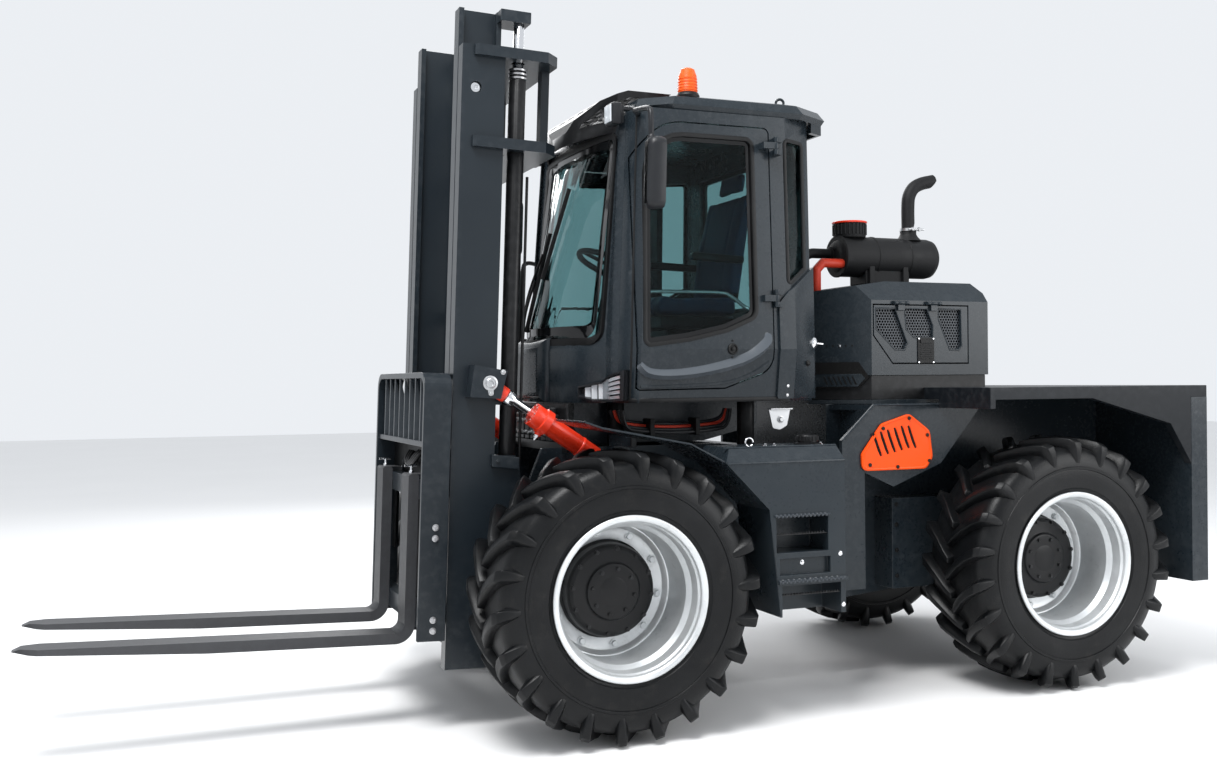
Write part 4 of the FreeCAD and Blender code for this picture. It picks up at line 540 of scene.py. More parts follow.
def bolt_ring(name, count, radius, face_y, size, length):
    """Hexagon heads in a ring, standing out towards -Y, with a washer under each."""
    deselect()
    bpy.ops.mesh.primitive_cylinder_add(vertices=6, radius=size, depth=length, rotation=(math.pi / 2, 0, 0),
                                        location=(0, face_y - length / 2, 0))
    head = bevel(fix(named("head")), size * 0.12, 1)
    bpy.ops.mesh.primitive_cylinder_add(vertices=16, radius=size * 1.35, depth=length * 0.3,
                                        rotation=(math.pi / 2, 0, 0), location=(0, face_y - length * 0.15, 0))
    head = joined("head", [head, fix(named("washer"))])
    heads = [copy_of(head, turn=Matrix.Rotation(math.tau * (index + 0.25) / count, 4, "Y")
                     @ Matrix.Translation((radius, 0, 0))) for index in range(count)]
    bpy.data.objects.remove(head)
    return smooth(joined(name, heads), 30)


def rim_ring():
    """Silver rim of the left wheel: rolled flanges, bead seats and a stepped well."""
    outer = [(-0.194, 0.322), (-0.190, 0.328), (-0.182, 0.328), (-0.179, 0.318), (-0.176, 0.3045), (-0.120, 0.300),
             (-0.100, 0.282), (0.080, 0.282), (0.110, 0.300), (0.170, 0.3045), (0.180, 0.318), (0.184, 0.328),
             (0.191, 0.328), (0.194, 0.322)]
    inner = [(0.193, 0.308), (0.176, 0.300), (0.168, 0.293), (0.118, 0.289), (0.086, 0.272), (-0.094, 0.272),
             (-0.116, 0.289), (-0.160, 0.293), (-0.170, 0.300), (-0.184, 0.302), (-0.190, 0.308)]
    return smooth(bevel(turned("rim_ring", outer + inner, steps=120), 0.002, 2, 20), 40)


def rim_disc():
    """Dished centre disc of the left wheel."""
    profile = [(0.117, 0.05), (0.117, 0.205), (0.120, 0.232), (0.108, 0.262), (0.088, 0.275), (0.070, 0.2745),
               (0.072, 0.268), (0.096, 0.252), (0.106, 0.228), (0.104, 0.05)]
    return smooth(bevel(turned("rim_disc", profile, steps=96), 0.002, 2, 25), 40)


def planet_hub():
    """Black final drive hub with its flange, drum and end cover."""
    profile = [(0.13, 0.0), (0.13, 0.198), (0.096, 0.202), (0.092, 0.196), (0.086, 0.192), (0.046, 0.190),
               (0.032, 0.183), (0.024, 0.168), (0.022, 0.122), (0.018, 0.116), (0.010, 0.113), (0.008, 0.106),
               (0.010, 0.060), (0.008, 0.054), (0.008, 0.0)]
    return smooth(bevel(turned("planet_hub", profile, steps=96), 0.002, 2, 20), 40)


def wheels():
    """Models the left wheel once, and copies it to the four corners, mirrored on the right."""
    parts = [  # model, finish, slot, name, the part it stands for
        (tyre(), RUBBER, "tyre", "tyre_detail", "tyre"),
        (rim_ring(), SILVER, "rim_paint", "rim_detail", "rim"),
        (rim_disc(), SILVER, "rim_paint", "disc", None),
        (planet_hub(), BLACK_PAINT, "axle_iron", "hub", None),
        (bolt_ring("bolts", 10, 0.232, 0.104, 0.0135, 0.016), SILVER, "rim_paint", "wheel_bolts", None),
        (bolt_ring("bolts", 12, 0.172, 0.026, 0.0085, 0.010), BLACK_PAINT, "axle_iron", "drum_bolts", None),
        (bolt_ring("bolts", 8, 0.092, 0.010, 0.0085, 0.009), BLACK_PAINT, "axle_iron", "cover_bolts", None)]
    for end, along, turn in (("front", 0.0, 0.0), ("rear", WHEEL_BASE, REAR_SPIN)):
        for side, sign in SIDES:
            wheel = "%s_%s_" % (end, side)
            spin = Matrix.Rotation(turn, 4, "Y")
            flip = Matrix.Scale(-1, 4, (0, 1, 0)) if sign > 0 else Matrix.Identity(4)
            for model, finish, slot, word, node in parts:
                piece = copy_of(model, at(along, sign * TRACK_HALF, TYRE_RADIUS), flip @ spin)
                piece.name = wheel + word
                if sign > 0:
                    piece.data.flip_normals()
                finished(piece, finish, wheel + "wheel", slot, *([wheel + node] if node else []))
    for model, *_ in parts:
        bpy.data.objects.remove(model)


# ---------------------------------------------------------------- outlines and sweeps
def rounded(corners, steps=6):
    """Points of an outline whose (u, v, radius) corners are rounded off."""
    points = []
    for index, (u, v, radius) in enumerate(corners):
        here = Vector((u, v))
        back = (Vector(corners[index - 1][:2]) - here).normalized()
        ahead = (Vector(corners[(index + 1) % len(corners)][:2]) - here).normalized()
        if not radius:
            points.append((u, v))
            continue
        half = back.angle(ahead) / 2
        centre = here + (back + ahead).normalized() * (radius / math.sin(half))
        start = here + back * (radius / math.tan(half)) - centre
        end = here + ahead * (radius / math.tan(half)) - centre
        turn = start.angle_signed(end)
        for step in range(steps + 1):
            points.append(tuple(centre + Matrix.Rotation(-turn * step / steps, 2) @ start))
    return points


def plate(name, outline, low, high, place, edge=0.0):
    """A flat outline drawn out between two levels; place(u, v, level) turns them into a point."""
    piece = drawn(name, [[place(u, v, level) for u, v in outline] for level in (low, high)])
    return bevel(piece, edge) if edge else piece


def side_plate(name, outline, low, high, edge=0.0):
    """An (x, z) outline between two values of y."""
    return plate(name, outline, low, high, lambda u, v, y: at(u, y, v), edge)


def deck_plate(name, outline, low, high, edge=0.0):
    """An (x, y) outline between two heights."""
    return plate(name, outline, low, high, lambda u, v, z: at(u, v, z), edge)


def block(name, x, y, z, edge=0.0):
    """A box between two values of x, of y and of z."""
    return deck_plate(name, [(x[0], y[0]), (x[1], y[0]), (x[1], y[1]), (x[0], y[1])], z[0], z[1], edge)


def frames_along(points, closed):
    """Unit direction of a path at each of its points."""
    count = len(points)
    for index in range(count):
        if closed:
            before, after = points[index - 1], points[(index + 1) % count]
        else:
            before, after = points[max(0, index - 1)], points[min(count - 1, index + 1)]
        yield (after - before).normalized()


def trim(name, points, outs, width, height, sink=0.002, closed=False, crown=0.35):
    """A strip with a rounded face along a path, standing out by its height on one side of it.

    The side and the width are one for the whole path, or a list with one for each of its points.
    """
    rings = []
    for index, (point, along) in enumerate(zip(points, frames_along(points, closed))):
        wide = width[index] if isinstance(width, list) else width
        out = outs[index] if isinstance(outs, list) else outs
        out = (out - along * out.dot(along)).normalized()
        across = along.cross(out).normalized()
        rings.append([point + across * (share * wide) + out * rise for share, rise in (
            (-0.5, -sink), (-0.5, height * (1 - crown)), (-0.5 + crown / 2, height),
            (0.5 - crown / 2, height), (0.5, height * (1 - crown)), (0.5, -sink))])
    return smooth(drawn(name, rings + rings[:1] if closed else rings, closed), 50)


def eased(points, steps=6):
    """A smooth path through the given points."""
    path = []
    last = len(points) - 1
    for index in range(last):
        a, b = points[max(0, index - 1)], points[index]
        c, d = points[index + 1], points[min(last, index + 2)]
        for step in range(steps):
            t = step / steps
            path.append(0.5 * ((2 * b) + (c - a) * t + (2 * a - 5 * b + 4 * c - d) * t * t
                               + (3 * b - a - 3 * c + d) * t ** 3))
    return path + [points[last]]


def tube(name, points, radius, sides=12, steps=6):
    """A round tube along a smooth path."""
    path = eased([Vector(p) for p in points], steps) if len(points) > 2 else [Vector(p) for p in points]
    rings = []
    side = None
    for point, along in zip(path, frames_along(path, False)):
        if side is None:
            side = along.orthogonal().normalized()
        side = (side - along * side.dot(along)).normalized()
        other = along.cross(side)
        rings.append([point + (side * math.cos(turn) + other * math.sin(turn)) * radius
                      for turn in (math.tau * step / sides for step in range(sides))])
    return smooth(drawn(name, rings), 50)


def spool(name, foot, axis, profile, steps=32):
    """A solid of (height, radius) stations turned about an axis that starts at its foot."""
    axis = Vector(axis).normalized()
    side = axis.orthogonal().normalized()
    other = axis.cross(side)
    rings = [[Vector(foot) + axis * rise + (side * math.cos(turn) + other * math.sin(turn)) * radius
              for turn in (math.tau * step / steps for step in range(steps))] for rise, radius in profile]
    return smooth(drawn(name, rings), 35)


def bolt_head(place, axis, size):
    """A hexagon head on its washer."""
    washer = spool("washer", place, axis,
                   [(0, size * 1.35), (size * 0.22, size * 1.35), (size * 0.26, size * 1.2)], 20)
    head = spool("head", Vector(place) + Vector(axis).normalized() * size * 0.2, axis,
                 [(0, size), (size * 0.62, size), (size * 0.78, size * 0.82)], 6)
    return joined("bolt", [washer, head])


def bolts(places, axis, size):
    """Hexagon heads on washers at several places, all along one axis."""
    return joined("bolts", [bolt_head(place, axis, size) for place in places])


def both_sides(name, piece):
    """The left piece and its mirror image in one mesh."""
    return joined(name, [piece, mirror_of(piece)])


def mirror_of(piece):
    twin = copy_of(piece, turn=Matrix.Scale(-1, 4, (0, 1, 0)))
    twin.data.flip_normals()
    return twin


def on_both(piece, stem, finish, body, slot, *nodes):
    """Finishes a left piece, and its mirror image on the right; {} in a name becomes the side."""
    twin = mirror_of(piece)
    for side, one in (("left", piece), ("right", twin)):
        one.name = stem.format(side)
        finished(one, finish, body.format(side), slot, *[node.format(side) for node in nodes])


# ---------------------------------------------------------------- the cab's skin
CAB_FLOOR, CAB_BELT, CAB_TOP = 1.335, 1.560, 2.575
CAB_REAR = 1.030
CAB_HALF, ROOF_LEAN, SKIRT_LEAN = 0.702, 0.042, 0.034
SCREEN_HALF = 0.47


def cab_lean(z):
    """How far up from the belt to the roof a height is, and how far down from the belt to the floor."""
    return (max(0.0, (z - CAB_BELT) / (CAB_TOP - CAB_BELT)),
            max(0.0, (CAB_BELT - z) / (CAB_BELT - CAB_FLOOR)))


def cab_side(z):
    """Half the cab's width at a height."""
    lean, drop = cab_lean(z)
    return CAB_HALF - ROOF_LEAN * lean - SKIRT_LEAN * drop


def circle_through(a, b, c):
    """Centre and radius of the circle through three points of a plane."""
    (ax, ay), (bx, by), (cx, cy) = a, b, c
    d = 2 * (ax * (by - cy) + bx * (cy - ay) + cx * (ay - by))
    aa, bb, cc = ax * ax + ay * ay, bx * bx + by * by, cx * cx + cy * cy
    centre = Vector(((aa * (by - cy) + bb * (cy - ay) + cc * (ay - by)) / d,
                     (aa * (cx - bx) + bb * (ax - cx) + cc * (bx - ax)) / d))
    return centre, (Vector(a) - centre).length


def screen_edge(lean):
    """How far to the rear the windscreen's side edges stand."""
    return 0.092 + 0.078 * lean


def front_point(y, z, out=0.0):
    """A point on the bowed front of the cab, moved outwards."""
    lean = cab_lean(z)[0]
    edge = screen_edge(lean)
    centre, radius = circle_through((edge, SCREEN_HALF), (-0.10 + 0.235 * lean, 0.0), (edge, -SCREEN_HALF))
    return at(centre.x - math.sqrt(radius * radius - y * y) - out, y, z)


def corner_point(share, z, out=0.0):
    """A point on the left front corner of the cab: share 0 at the windscreen, 1 at the door."""
    lean = cab_lean(z)[0]
    start = Vector((screen_edge(lean) - out, -SCREEN_HALF - out))
    end = Vector((0.160 + 0.050 * lean - out, -cab_side(z) - out))
    middle = (start + end) / 2 - Vector((0.016, 0.016))
    centre, _ = circle_through(start, middle, end)
    arm = start - centre
    turn = arm.angle_signed(end - centre)
    spot = centre + Matrix.Rotation(-turn * share, 2) @ arm
    return at(spot.x, spot.y, z)


def side_point(x, z, out=0.0):
    """A point on the cab's left side."""
    return at(x, -cab_side(z) - out, z)


OUT_LEFT = Vector((0, -1, 0))
OUT_FRONT = Vector((-1, 0, 0))
OUT_REAR = Vector((1, 0, 0))
OUT_UP = Vector((0, 0, 1))


def lines(table, value):
    """Straight-line reading of a table of (position, amount) pairs."""
    for (a, low), (b, high) in zip(table, table[1:]):
        if value <= b:
            return low + (high - low) * max(0.0, value - a) / (b - a)
    return table[-1][1]


def quarter_point(x, z, out=0.0):
    """A point on the cab's left side from the door back, round the rear corner's flat."""
    lean = cab_lean(z)[0]
    start = Vector((0.880 - 0.010 * lean, -cab_side(z)))
    end = Vector((CAB_REAR, -0.605 + 0.025 * lean))
    along = (end - start).normalized()
    if x <= start.x:
        return at(x, start.y - out, z)
    spot = start + along * ((x - start.x) / along.x)
    return at(spot.x + along.y * out, spot.y - along.x * out, z)


def between(a, b, share):
    """The point a share of the way from one to another."""
    return tuple(p + (q - p) * share for p, q in zip(a, b))


def spaced(outline, gap=0.06):
    """The same outline with more points, so that it follows a curved skin."""
    points = []
    for index, (u, v) in enumerate(outline):
        nu, nv = outline[(index + 1) % len(outline)]
        count = max(1, math.ceil(math.hypot(nu - u, nv - v) / gap))
        points += [between((u, v), (nu, nv), step / count) for step in range(count)]
    return points


def window_trim(name, corners, surface, out, width, height, sink, lift=0.0, crown=0.35):
    """A strip round a window; surface(u, v, out) is a point of the skin."""
    points = [surface(u, v, lift) for u, v in spaced(rounded(corners))]
    return trim(name, points, out, width, height, sink, True, crown)


# ---------------------------------------------------------------- cab details
SCREEN = [(-0.446, 1.600, 0.05), (0.446, 1.600, 0.05), (0.446, 2.500, 0.05), (-0.446, 2.500, 0.05)]
SCREEN_INNER = [(-0.408, 1.640, 0.05), (0.408, 1.640, 0.05), (0.408, 2.460, 0.05), (-0.408, 2.460, 0.05)]
REAR_PANE = [(-0.438, 1.762, 0.04), (0.438, 1.762, 0.04), (0.438, 2.468, 0.04), (-0.438, 2.468, 0.04)]
DOOR_PANE = [(0.178, 1.574, 0.025), (0.380, 1.600, 0.0), (0.560, 1.640, 0.0), (0.705, 1.700, 0.05),
             (0.705, 2.470, 0.035), (0.200, 2.470, 0.18)]
DOOR_PANE_INNER = [(0.192, 1.590, 0.02), (0.378, 1.614, 0.0), (0.557, 1.653, 0.0), (0.692, 1.709, 0.042),
                   (0.692, 2.457, 0.025), (0.212, 2.457, 0.168)]
QUARTER_PANE = [(0.866, 1.842, 0.012), (0.988, 1.921, 0.012), (0.988, 2.478, 0.02), (0.866, 2.478, 0.02)]


PANE_DEPTH = 0.0094  # from the skin to the outer face of the panes


def cab_seals():
    """Rubber round each window, and the black printed border inside it."""
    finished(window_trim("windscreen_seal", SCREEN, front_point, OUT_FRONT, 0.034, 0.004, 0.011), GASKET,
             "front_frame", "lamp_plastic")
    finished(window_trim("windscreen_border", SCREEN_INNER, front_point, OUT_FRONT, 0.060, 0.0006, 0.0004,
                         -PANE_DEPTH, 0.1), BORDER, "front_frame", "glass")
    on_both(window_trim("seal", DOOR_PANE, side_point, OUT_LEFT, 0.018, 0.003, 0.0105), "{}_door_seal", GASKET,
            "{}_door", "lamp_plastic")
    on_both(window_trim("border", DOOR_PANE_INNER, side_point, OUT_LEFT, 0.030, 0.0006, 0.0004,
                        -PANE_DEPTH, 0.1), "{}_door_border", BORDER, "{}_door", "glass")
    on_both(window_trim("seal", QUARTER_PANE, quarter_point, OUT_LEFT, 0.016, 0.003, 0.0105),
            "{}_quarter_seal", GASKET, "front_frame", "lamp_plastic")
    finished(window_trim("rear_seal", REAR_PANE, lambda y, z, out: at(CAB_REAR + out, y, z), OUT_REAR, 0.04,
                         0.004, 0.011), GASKET, "front_frame", "lamp_plastic")


def door_pressings():
    """Style line swept across the door, the fold below it, the lock and the inner pull bar."""
    line = eased([side_point(x, z) for x, z in (
        (0.160, 1.500), (0.205, 1.473), (0.290, 1.467), (0.400, 1.476), (0.520, 1.498), (0.630, 1.530),
        (0.700, 1.565), (0.745, 1.600), (0.762, 1.628))])
    taper = ((0.0, 0.028), (0.10, 0.058), (0.60, 0.072), (0.88, 0.060), (1.0, 0.018))
    widths = [lines(taper, index / (len(line) - 1)) for index in range(len(line))]
    # The style line takes the lighter paint: a painted highlight.
    on_both(trim("line", line, Vector((0, -1, 0.95)), widths, 0.006, 0.020, crown=0.2), "{}_door_line",
            DOOR_BAND_PAINTED_HIGHLIGHT, "{}_door", "frame_paint")
    lower = eased([side_point(x, z) for x, z in (
        (0.165, 1.402), (0.35, 1.405), (0.56, 1.418), (0.68, 1.455), (0.765, 1.505))])
    on_both(trim("fold", lower, OUT_LEFT, 0.014, 0.004, 0.002, crown=0.6), "{}_door_fold",
            FRAME_PAINT, "{}_door", "frame_paint")
    lock = joined("lamp_plastic", [
        spool("ring", side_point(0.585, 1.560, -0.002), OUT_LEFT,
              [(0, 0.024), (0.006, 0.024), (0.009, 0.021), (0.009, 0.017), (0.005, 0.016), (0.005, 0.001)]),
        spool("core", side_point(0.585, 1.560), OUT_LEFT, [(0, 0.009), (0.008, 0.009), (0.009, 0.007)])]
        + [spool("screw", side_point(0.585, z), OUT_LEFT, [(0, 0.004), (0.003, 0.004), (0.004, 0.002)], 12)
           for z in (1.596, 1.524)])
    on_both(lock, "{}_door_lock", GASKET, "{}_door", "lamp_plastic")
    bar = tube("bar", [at(x, y, z) for x, y, z in (
        (0.205, -0.655, 1.770), (0.225, -0.625, 1.800), (0.320, -0.620, 1.806), (0.560, -0.620, 1.806),
        (0.620, -0.622, 1.790), (0.672, -0.635, 1.750), (0.690, -0.660, 1.730))], 0.008)
    on_both(bar, "{}_pull_bar", PIN_STEEL, "{}_door", "pin_steel")


def cab_fittings():
    """Pillar mouldings and seams, sill rubbers, door buffers, hood latches and skirt screws."""
    left = [corner_point(0.42 - 0.10 * cab_lean(z)[0], z) for z in
            (1.34, 1.42, 1.50, 1.56, 1.70, 1.85, 2.00, 2.15, 2.30, 2.45, 2.56)]
    rail = trim("moulding", left, Vector((-0.72, -0.69, 0)).normalized(), 0.050, 0.007, 0.004, crown=0.7)
    finished(both_sides("pillar_mouldings", rail), FRAME_PAINT, "front_frame", "frame_paint")
    seam = [corner_point(0.80 - 0.05 * cab_lean(z)[0], z) for z in
            (1.34, 1.45, 1.56, 1.75, 1.95, 2.15, 2.35, 2.55)]
    strip = trim("seam", seam, Vector((-0.35, -0.93, 0)).normalized(), 0.010, 0.003, 0.004, crown=0.3)
    finished(both_sides("pillar_seams", strip), GASKET, "front_frame", "lamp_plastic")
    sill = ([corner_point(share / 6, 1.345) for share in range(2, 6)]
            + [side_point(0.17 + 0.1 * step, 1.345) for step in range(8)])
    outs = [Vector((-0.5, -0.8, 0)).normalized()] * 4 + [OUT_LEFT] * 8
    strip = trim("sill", sill, outs, 0.018, 0.006, 0.003, crown=0.3)
    finished(both_sides("sill_rubbers", strip), GASKET, "front_frame", "lamp_plastic")
    knob = spool("knob", quarter_point(0.975, 1.500, 0.010), OUT_LEFT,
                 [(0, 0.016), (0.006, 0.016), (0.008, 0.011), (0.018, 0.010), (0.022, 0.006)])
    finished(both_sides("door_buffers", knob), GASKET, "front_frame", "lamp_plastic")
    latch = joined("latch", [
        spool("cup", at(CAB_REAR, -0.600, 1.590), (0.25, -1, 0),
              [(0, 0.026), (0.010, 0.028), (0.022, 0.024), (0.030, 0.012), (0.032, 0.003)]),
        tube("spindle", [at(CAB_REAR, -0.618, 1.590), at(1.085, -0.612, 1.586)], 0.005, 10)])
    finished(both_sides("hood_latches", latch), CHROME, "front_frame", "pin_steel")
    heads = bolts([quarter_point(0.86, z, 0.012) for z in (1.360, 1.40)], OUT_LEFT, 0.005)
    finished(both_sides("skirt_screws", heads), PIN_STEEL, "front_frame", "pin_steel")


def wiper(name, pivot, middle, low, high, steps=10):
    """Wiper arm, its blade carrier and rubber, given by points (y, z) on the windscreen."""
    arm = tube("arm", [front_point(*pivot, 0.012), front_point(*between(pivot, middle, 0.5), 0.026),
                       front_point(*middle, 0.018)], 0.006, 10)
    hub = spool("hub", front_point(*pivot, -0.006), OUT_FRONT, [(0, 0.020), (0.014, 0.018), (0.020, 0.010)])
    blade = [front_point(*between(low, high, step / steps)) for step in range(steps + 1)]
    carrier = trim("carrier", blade, OUT_FRONT, 0.011, 0.012, 0.006, crown=0.5)
    return finished(joined(name, [arm, hub, carrier]), WIPER_BLACK, "front_frame", "lamp_plastic")


def screen_fittings():
    """Two wipers and the far handrail."""
    wiper("wiper_right", (0.30, 1.615), (0.05, 2.02), (0.02, 1.90), (-0.085, 2.31))
    wiper("wiper_left", (0.16, 1.612), (0.10, 1.90), (0.14, 1.66), (0.055, 2.12))
    rail = tube("handrail", [corner_right(share, z, out) for share, z, out in (
        (0.30, 2.02, 0.0), (0.30, 2.03, 0.045), (0.28, 1.98, 0.060), (0.22, 1.72, 0.060),
        (0.20, 1.50, 0.050), (0.20, 1.47, 0.0))], 0.011)
    finished(rail, BLACK_PAINT, "front_frame", "mast_steel")


def corner_right(share, z, out):
    """The same point as corner_point's on the right of the cab."""
    spot = corner_point(share, z, out)
    return Vector((spot.x, -spot.y, spot.z))


LAMP_BEND = 0.18  # share of the headlamp's length that lies on the cab's front
LAMP_TURN = 0.74  # share of the cab's corner that the rest of it covers


def lamp_path(t, z, out):
    """From the inner end of the headlamp (t = 0) along the cab's front and round its corner."""
    if t < LAMP_BEND:
        return front_point(-0.385 - 0.085 * t / LAMP_BEND, z, out)
    return corner_point((t - LAMP_BEND) / (1 - LAMP_BEND) * LAMP_TURN, z, out)


LAMP_LOW = ((0.0, 1.366), (0.12, 1.342), (0.6, 1.341), (1.0, 1.347))
LAMP_HIGH = ((0.0, 1.398), (0.15, 1.424), (0.6, 1.458), (1.0, 1.473))


def lamp_ring(t, low, high, inner, low_out, high_out):
    """Section of a plate on the headlamp's face, between two heights and two distances from the skin."""
    return [lamp_path(t, low, low_out), lamp_path(t, low, inner), lamp_path(t, high, inner),
            lamp_path(t, high, high_out)]


def lamp_span(t, margin):
    """The two heights of the headlamp, less a margin."""
    return lines(LAMP_LOW, t) + margin, lines(LAMP_HIGH, t) - margin


def headlamps():
    """Black housing with its rim, and silver reflectors with upright facets and bars."""
    steps = [0.0, 0.06, 0.12, LAMP_BEND, 0.28, 0.40, 0.52, 0.64, 0.76, 0.88, 1.0]
    housing = drawn("housing", [lamp_ring(t, *lamp_span(t, 0), -0.002, 0.010, 0.010) for t in steps])
    rear = drawn("rear", [lamp_ring(t, *lamp_span(t, 0), 0.0, 0.0325, 0.0325) for t in (0.90, 0.95, 1.0)])
    outline = ([(t, lamp_span(t, 0.004)[0]) for t in steps] + [(t, lamp_span(t, 0.004)[1]) for t in steps[::-1]])
    points = [lamp_path(t, z, 0.004) for t, z in outline]
    facing = [(lamp_path(t, z, 0.02) - lamp_path(t, z, 0.0)).normalized() for t, z in outline]
    rim = trim("rim", points, facing, 0.010, 0.027, 0.004, closed=True, crown=0.2)
    facets = []
    for index in range(8):
        start = 0.05 + 0.052 * index
        end = start + 0.036
        facets.append(drawn("facet", [lamp_ring(t, *lamp_span(t, 0.010), 0.009, out, out) for t, out in (
            (start, 0.014), ((start + end) / 2, 0.028), (end, 0.014))]))
    for index in range(5):
        rings = []
        for t in (0.49, 0.60, 0.74, 0.87):
            low, high = lamp_span(t, 0.010)
            step = (high - low) / 5
            z = low + step * index
            rings.append(lamp_ring(t, z, z + step * 0.62, 0.009, 0.024, 0.030))
        facets.append(drawn("bar", rings))
    shine = joined("shine", facets)
    on_both(joined("body", [smooth(housing, 40), smooth(rear, 40), rim]), "{}_headlamp", LAMP_PLASTIC,
            "front_frame", "lamp_plastic", "lamps")
    on_both(shine, "{}_reflectors", REFLECTOR, "front_frame", "lamp_plastic")


def work_lamps():
    """Square work lamps with cooling fins and a lens, on their bracket."""
    case = block("case", (0.092, 0.138), (-0.572, -0.483), (2.516, 2.608), 0.008)
    fins = [block("fin", (0.138, 0.149), (-0.560 + 0.0155 * index, -0.556 + 0.0155 * index), (2.524, 2.600),
                  0.001) for index in range(5)]
    foot = block("foot", (0.148, 0.200), (-0.542, -0.513), (2.583, 2.597), 0.002)
    on_both(joined("lamp", [case] + fins + [foot]), "{}_work_lamp", LAMP_PLASTIC, "front_frame", "lamp_plastic")
    lens = joined("lens", [block("lens", (0.0865, 0.093), (-0.562, -0.493), (2.526, 2.598), 0.002)]
                  + [spool("bead", at(0.0868, -0.5275 + 0.034 * a, 2.562 + 0.034 * b), OUT_FRONT,
                           [(-0.001, 0.013), (0.0008, 0.012), (0.0014, 0.004)], 16)
                     for a in (-0.5, 0.5) for b in (-0.5, 0.5)])
    on_both(lens, "{}_work_lens", REFLECTOR, "front_frame", "lamp_plastic")


# ---------------------------------------------------------------- seat
PAD_VOXEL = 0.009
PAD_PRESSURE = 4
PRESS_FRAMES = 20


def puffed(piece, cap):
    """Fills a pad under pressure, with no point moving further than cap."""
    choose(piece)
    grid = piece.modifiers.new("Grid", "REMESH")
    grid.mode = "VOXEL"
    grid.voxel_size = PAD_VOXEL
    bpy.ops.object.modifier_apply(modifier=grid.name)
    rest = [corner.co.copy() for corner in piece.data.vertices]
    stuffing = piece.modifiers.new("Stuffing", "CLOTH")
    stuffing.settings.use_pressure = True
    stuffing.settings.uniform_pressure_force = PAD_PRESSURE
    stuffing.settings.effector_weights.gravity = 0
    stuffing.point_cache.frame_end = PRESS_FRAMES
    for frame_number in range(1, PRESS_FRAMES + 1):
        bpy.context.scene.frame_set(frame_number)
    bpy.ops.object.modifier_apply(modifier=stuffing.name)
    bpy.context.scene.frame_set(1)
    for corner, start in zip(piece.data.vertices, rest):
        move = corner.co - start
        if move.length > cap:
            corner.co = start + move.normalized() * cap
    finer = piece.modifiers.new("Finer", "SUBSURF")
    finer.levels = finer.render_levels = 1
    bpy.ops.object.modifier_apply(modifier=finer.name)
    return smooth(piece, 60)


def channel(piece, across, places, depth=0.007, width=0.008):
    """Sewn channels: the cover is drawn in along lines where a coordinate has the given values."""
    middle = sum((corner.co for corner in piece.data.vertices), Vector()) / len(piece.data.vertices)
    for corner in piece.data.vertices:
        value = corner.co[across]
        pull = sum(math.exp(-((value - place) / width) ** 2) for place in places)
        inward = (middle - corner.co)
        inward[across] = 0
        corner.co += inward.normalized() * depth * min(1.0, pull)
    piece.data.update()
    return piece


def seat():
    """Suspension seat: steel base with bellows, padded cushion, back and head rest, and arm rests."""
    base = [block("foot", (0.520, 0.830), (-0.165, 0.165), (1.362, 1.400), 0.006)]
    for index in range(6):
        grow = 0.010 if index % 2 else 0.0
        base.append(block("fold", (0.535 - grow, 0.815 + grow), (-0.150 - grow, 0.150 + grow),
                          (1.400 + 0.045 * index, 1.445 + 0.045 * index), 0.008))
    base.append(block("tray", (0.480, 0.860), (-0.200, 0.200), (1.670, 1.730), 0.010))
    spine = rounded([(0.878, 1.80, 0.0), (0.905, 1.80, 0.0), (0.984, 2.30, 0.0), (0.962, 2.30, 0.0)])
    base.append(side_plate("spine", spine, -0.150, 0.150, 0.006))
    finished(joined("seat_base", base), LAMP_PLASTIC, "front_frame", "console_plastic", "cab_seat")
    cushion = side_plate("seat_cushion", rounded([
        (0.448, 1.738, 0.02), (0.865, 1.738, 0.02), (0.865, 1.812, 0.02), (0.560, 1.802, 0.0),
        (0.470, 1.816, 0.03), (0.442, 1.780, 0.02)]), -0.225, 0.225, 0.012)
    channel(puffed(cushion, 0.010), 1, (-0.135, 0.135))
    back = side_plate("seat_back", rounded([
        (0.830, 1.828, 0.02), (0.886, 1.828, 0.02), (0.962, 2.310, 0.02), (0.930, 2.322, 0.015),
        (0.858, 2.060, 0.0)]), -0.210, 0.210, 0.012)
    channel(puffed(back, 0.009), 1, (-0.125, 0.125))
    head = side_plate("seat_head_rest", rounded([
        (0.932, 2.338, 0.012), (0.966, 2.338, 0.012), (0.980, 2.428, 0.012), (0.948, 2.428, 0.012)]),
        -0.108, 0.108, 0.008)
    puffed(head, 0.008)
    for piece in (cushion, back, head):
        finished(piece, SEAT_COVER, "front_frame", "seat_cloth")
    arm = side_plate("arm", rounded([
        (0.610, 1.985, 0.012), (0.880, 1.975, 0.012), (0.885, 2.010, 0.012), (0.612, 2.022, 0.015)]),
        -0.262, -0.218, 0.008)
    finished(both_sides("seat_arms", arm), LAMP_PLASTIC, "front_frame", "console_plastic")


# ---------------------------------------------------------------- front frame details
STUD_PITCH = 0.026
KNURL_PITCH = 0.0095
TOOTH_PITCH = 0.0135


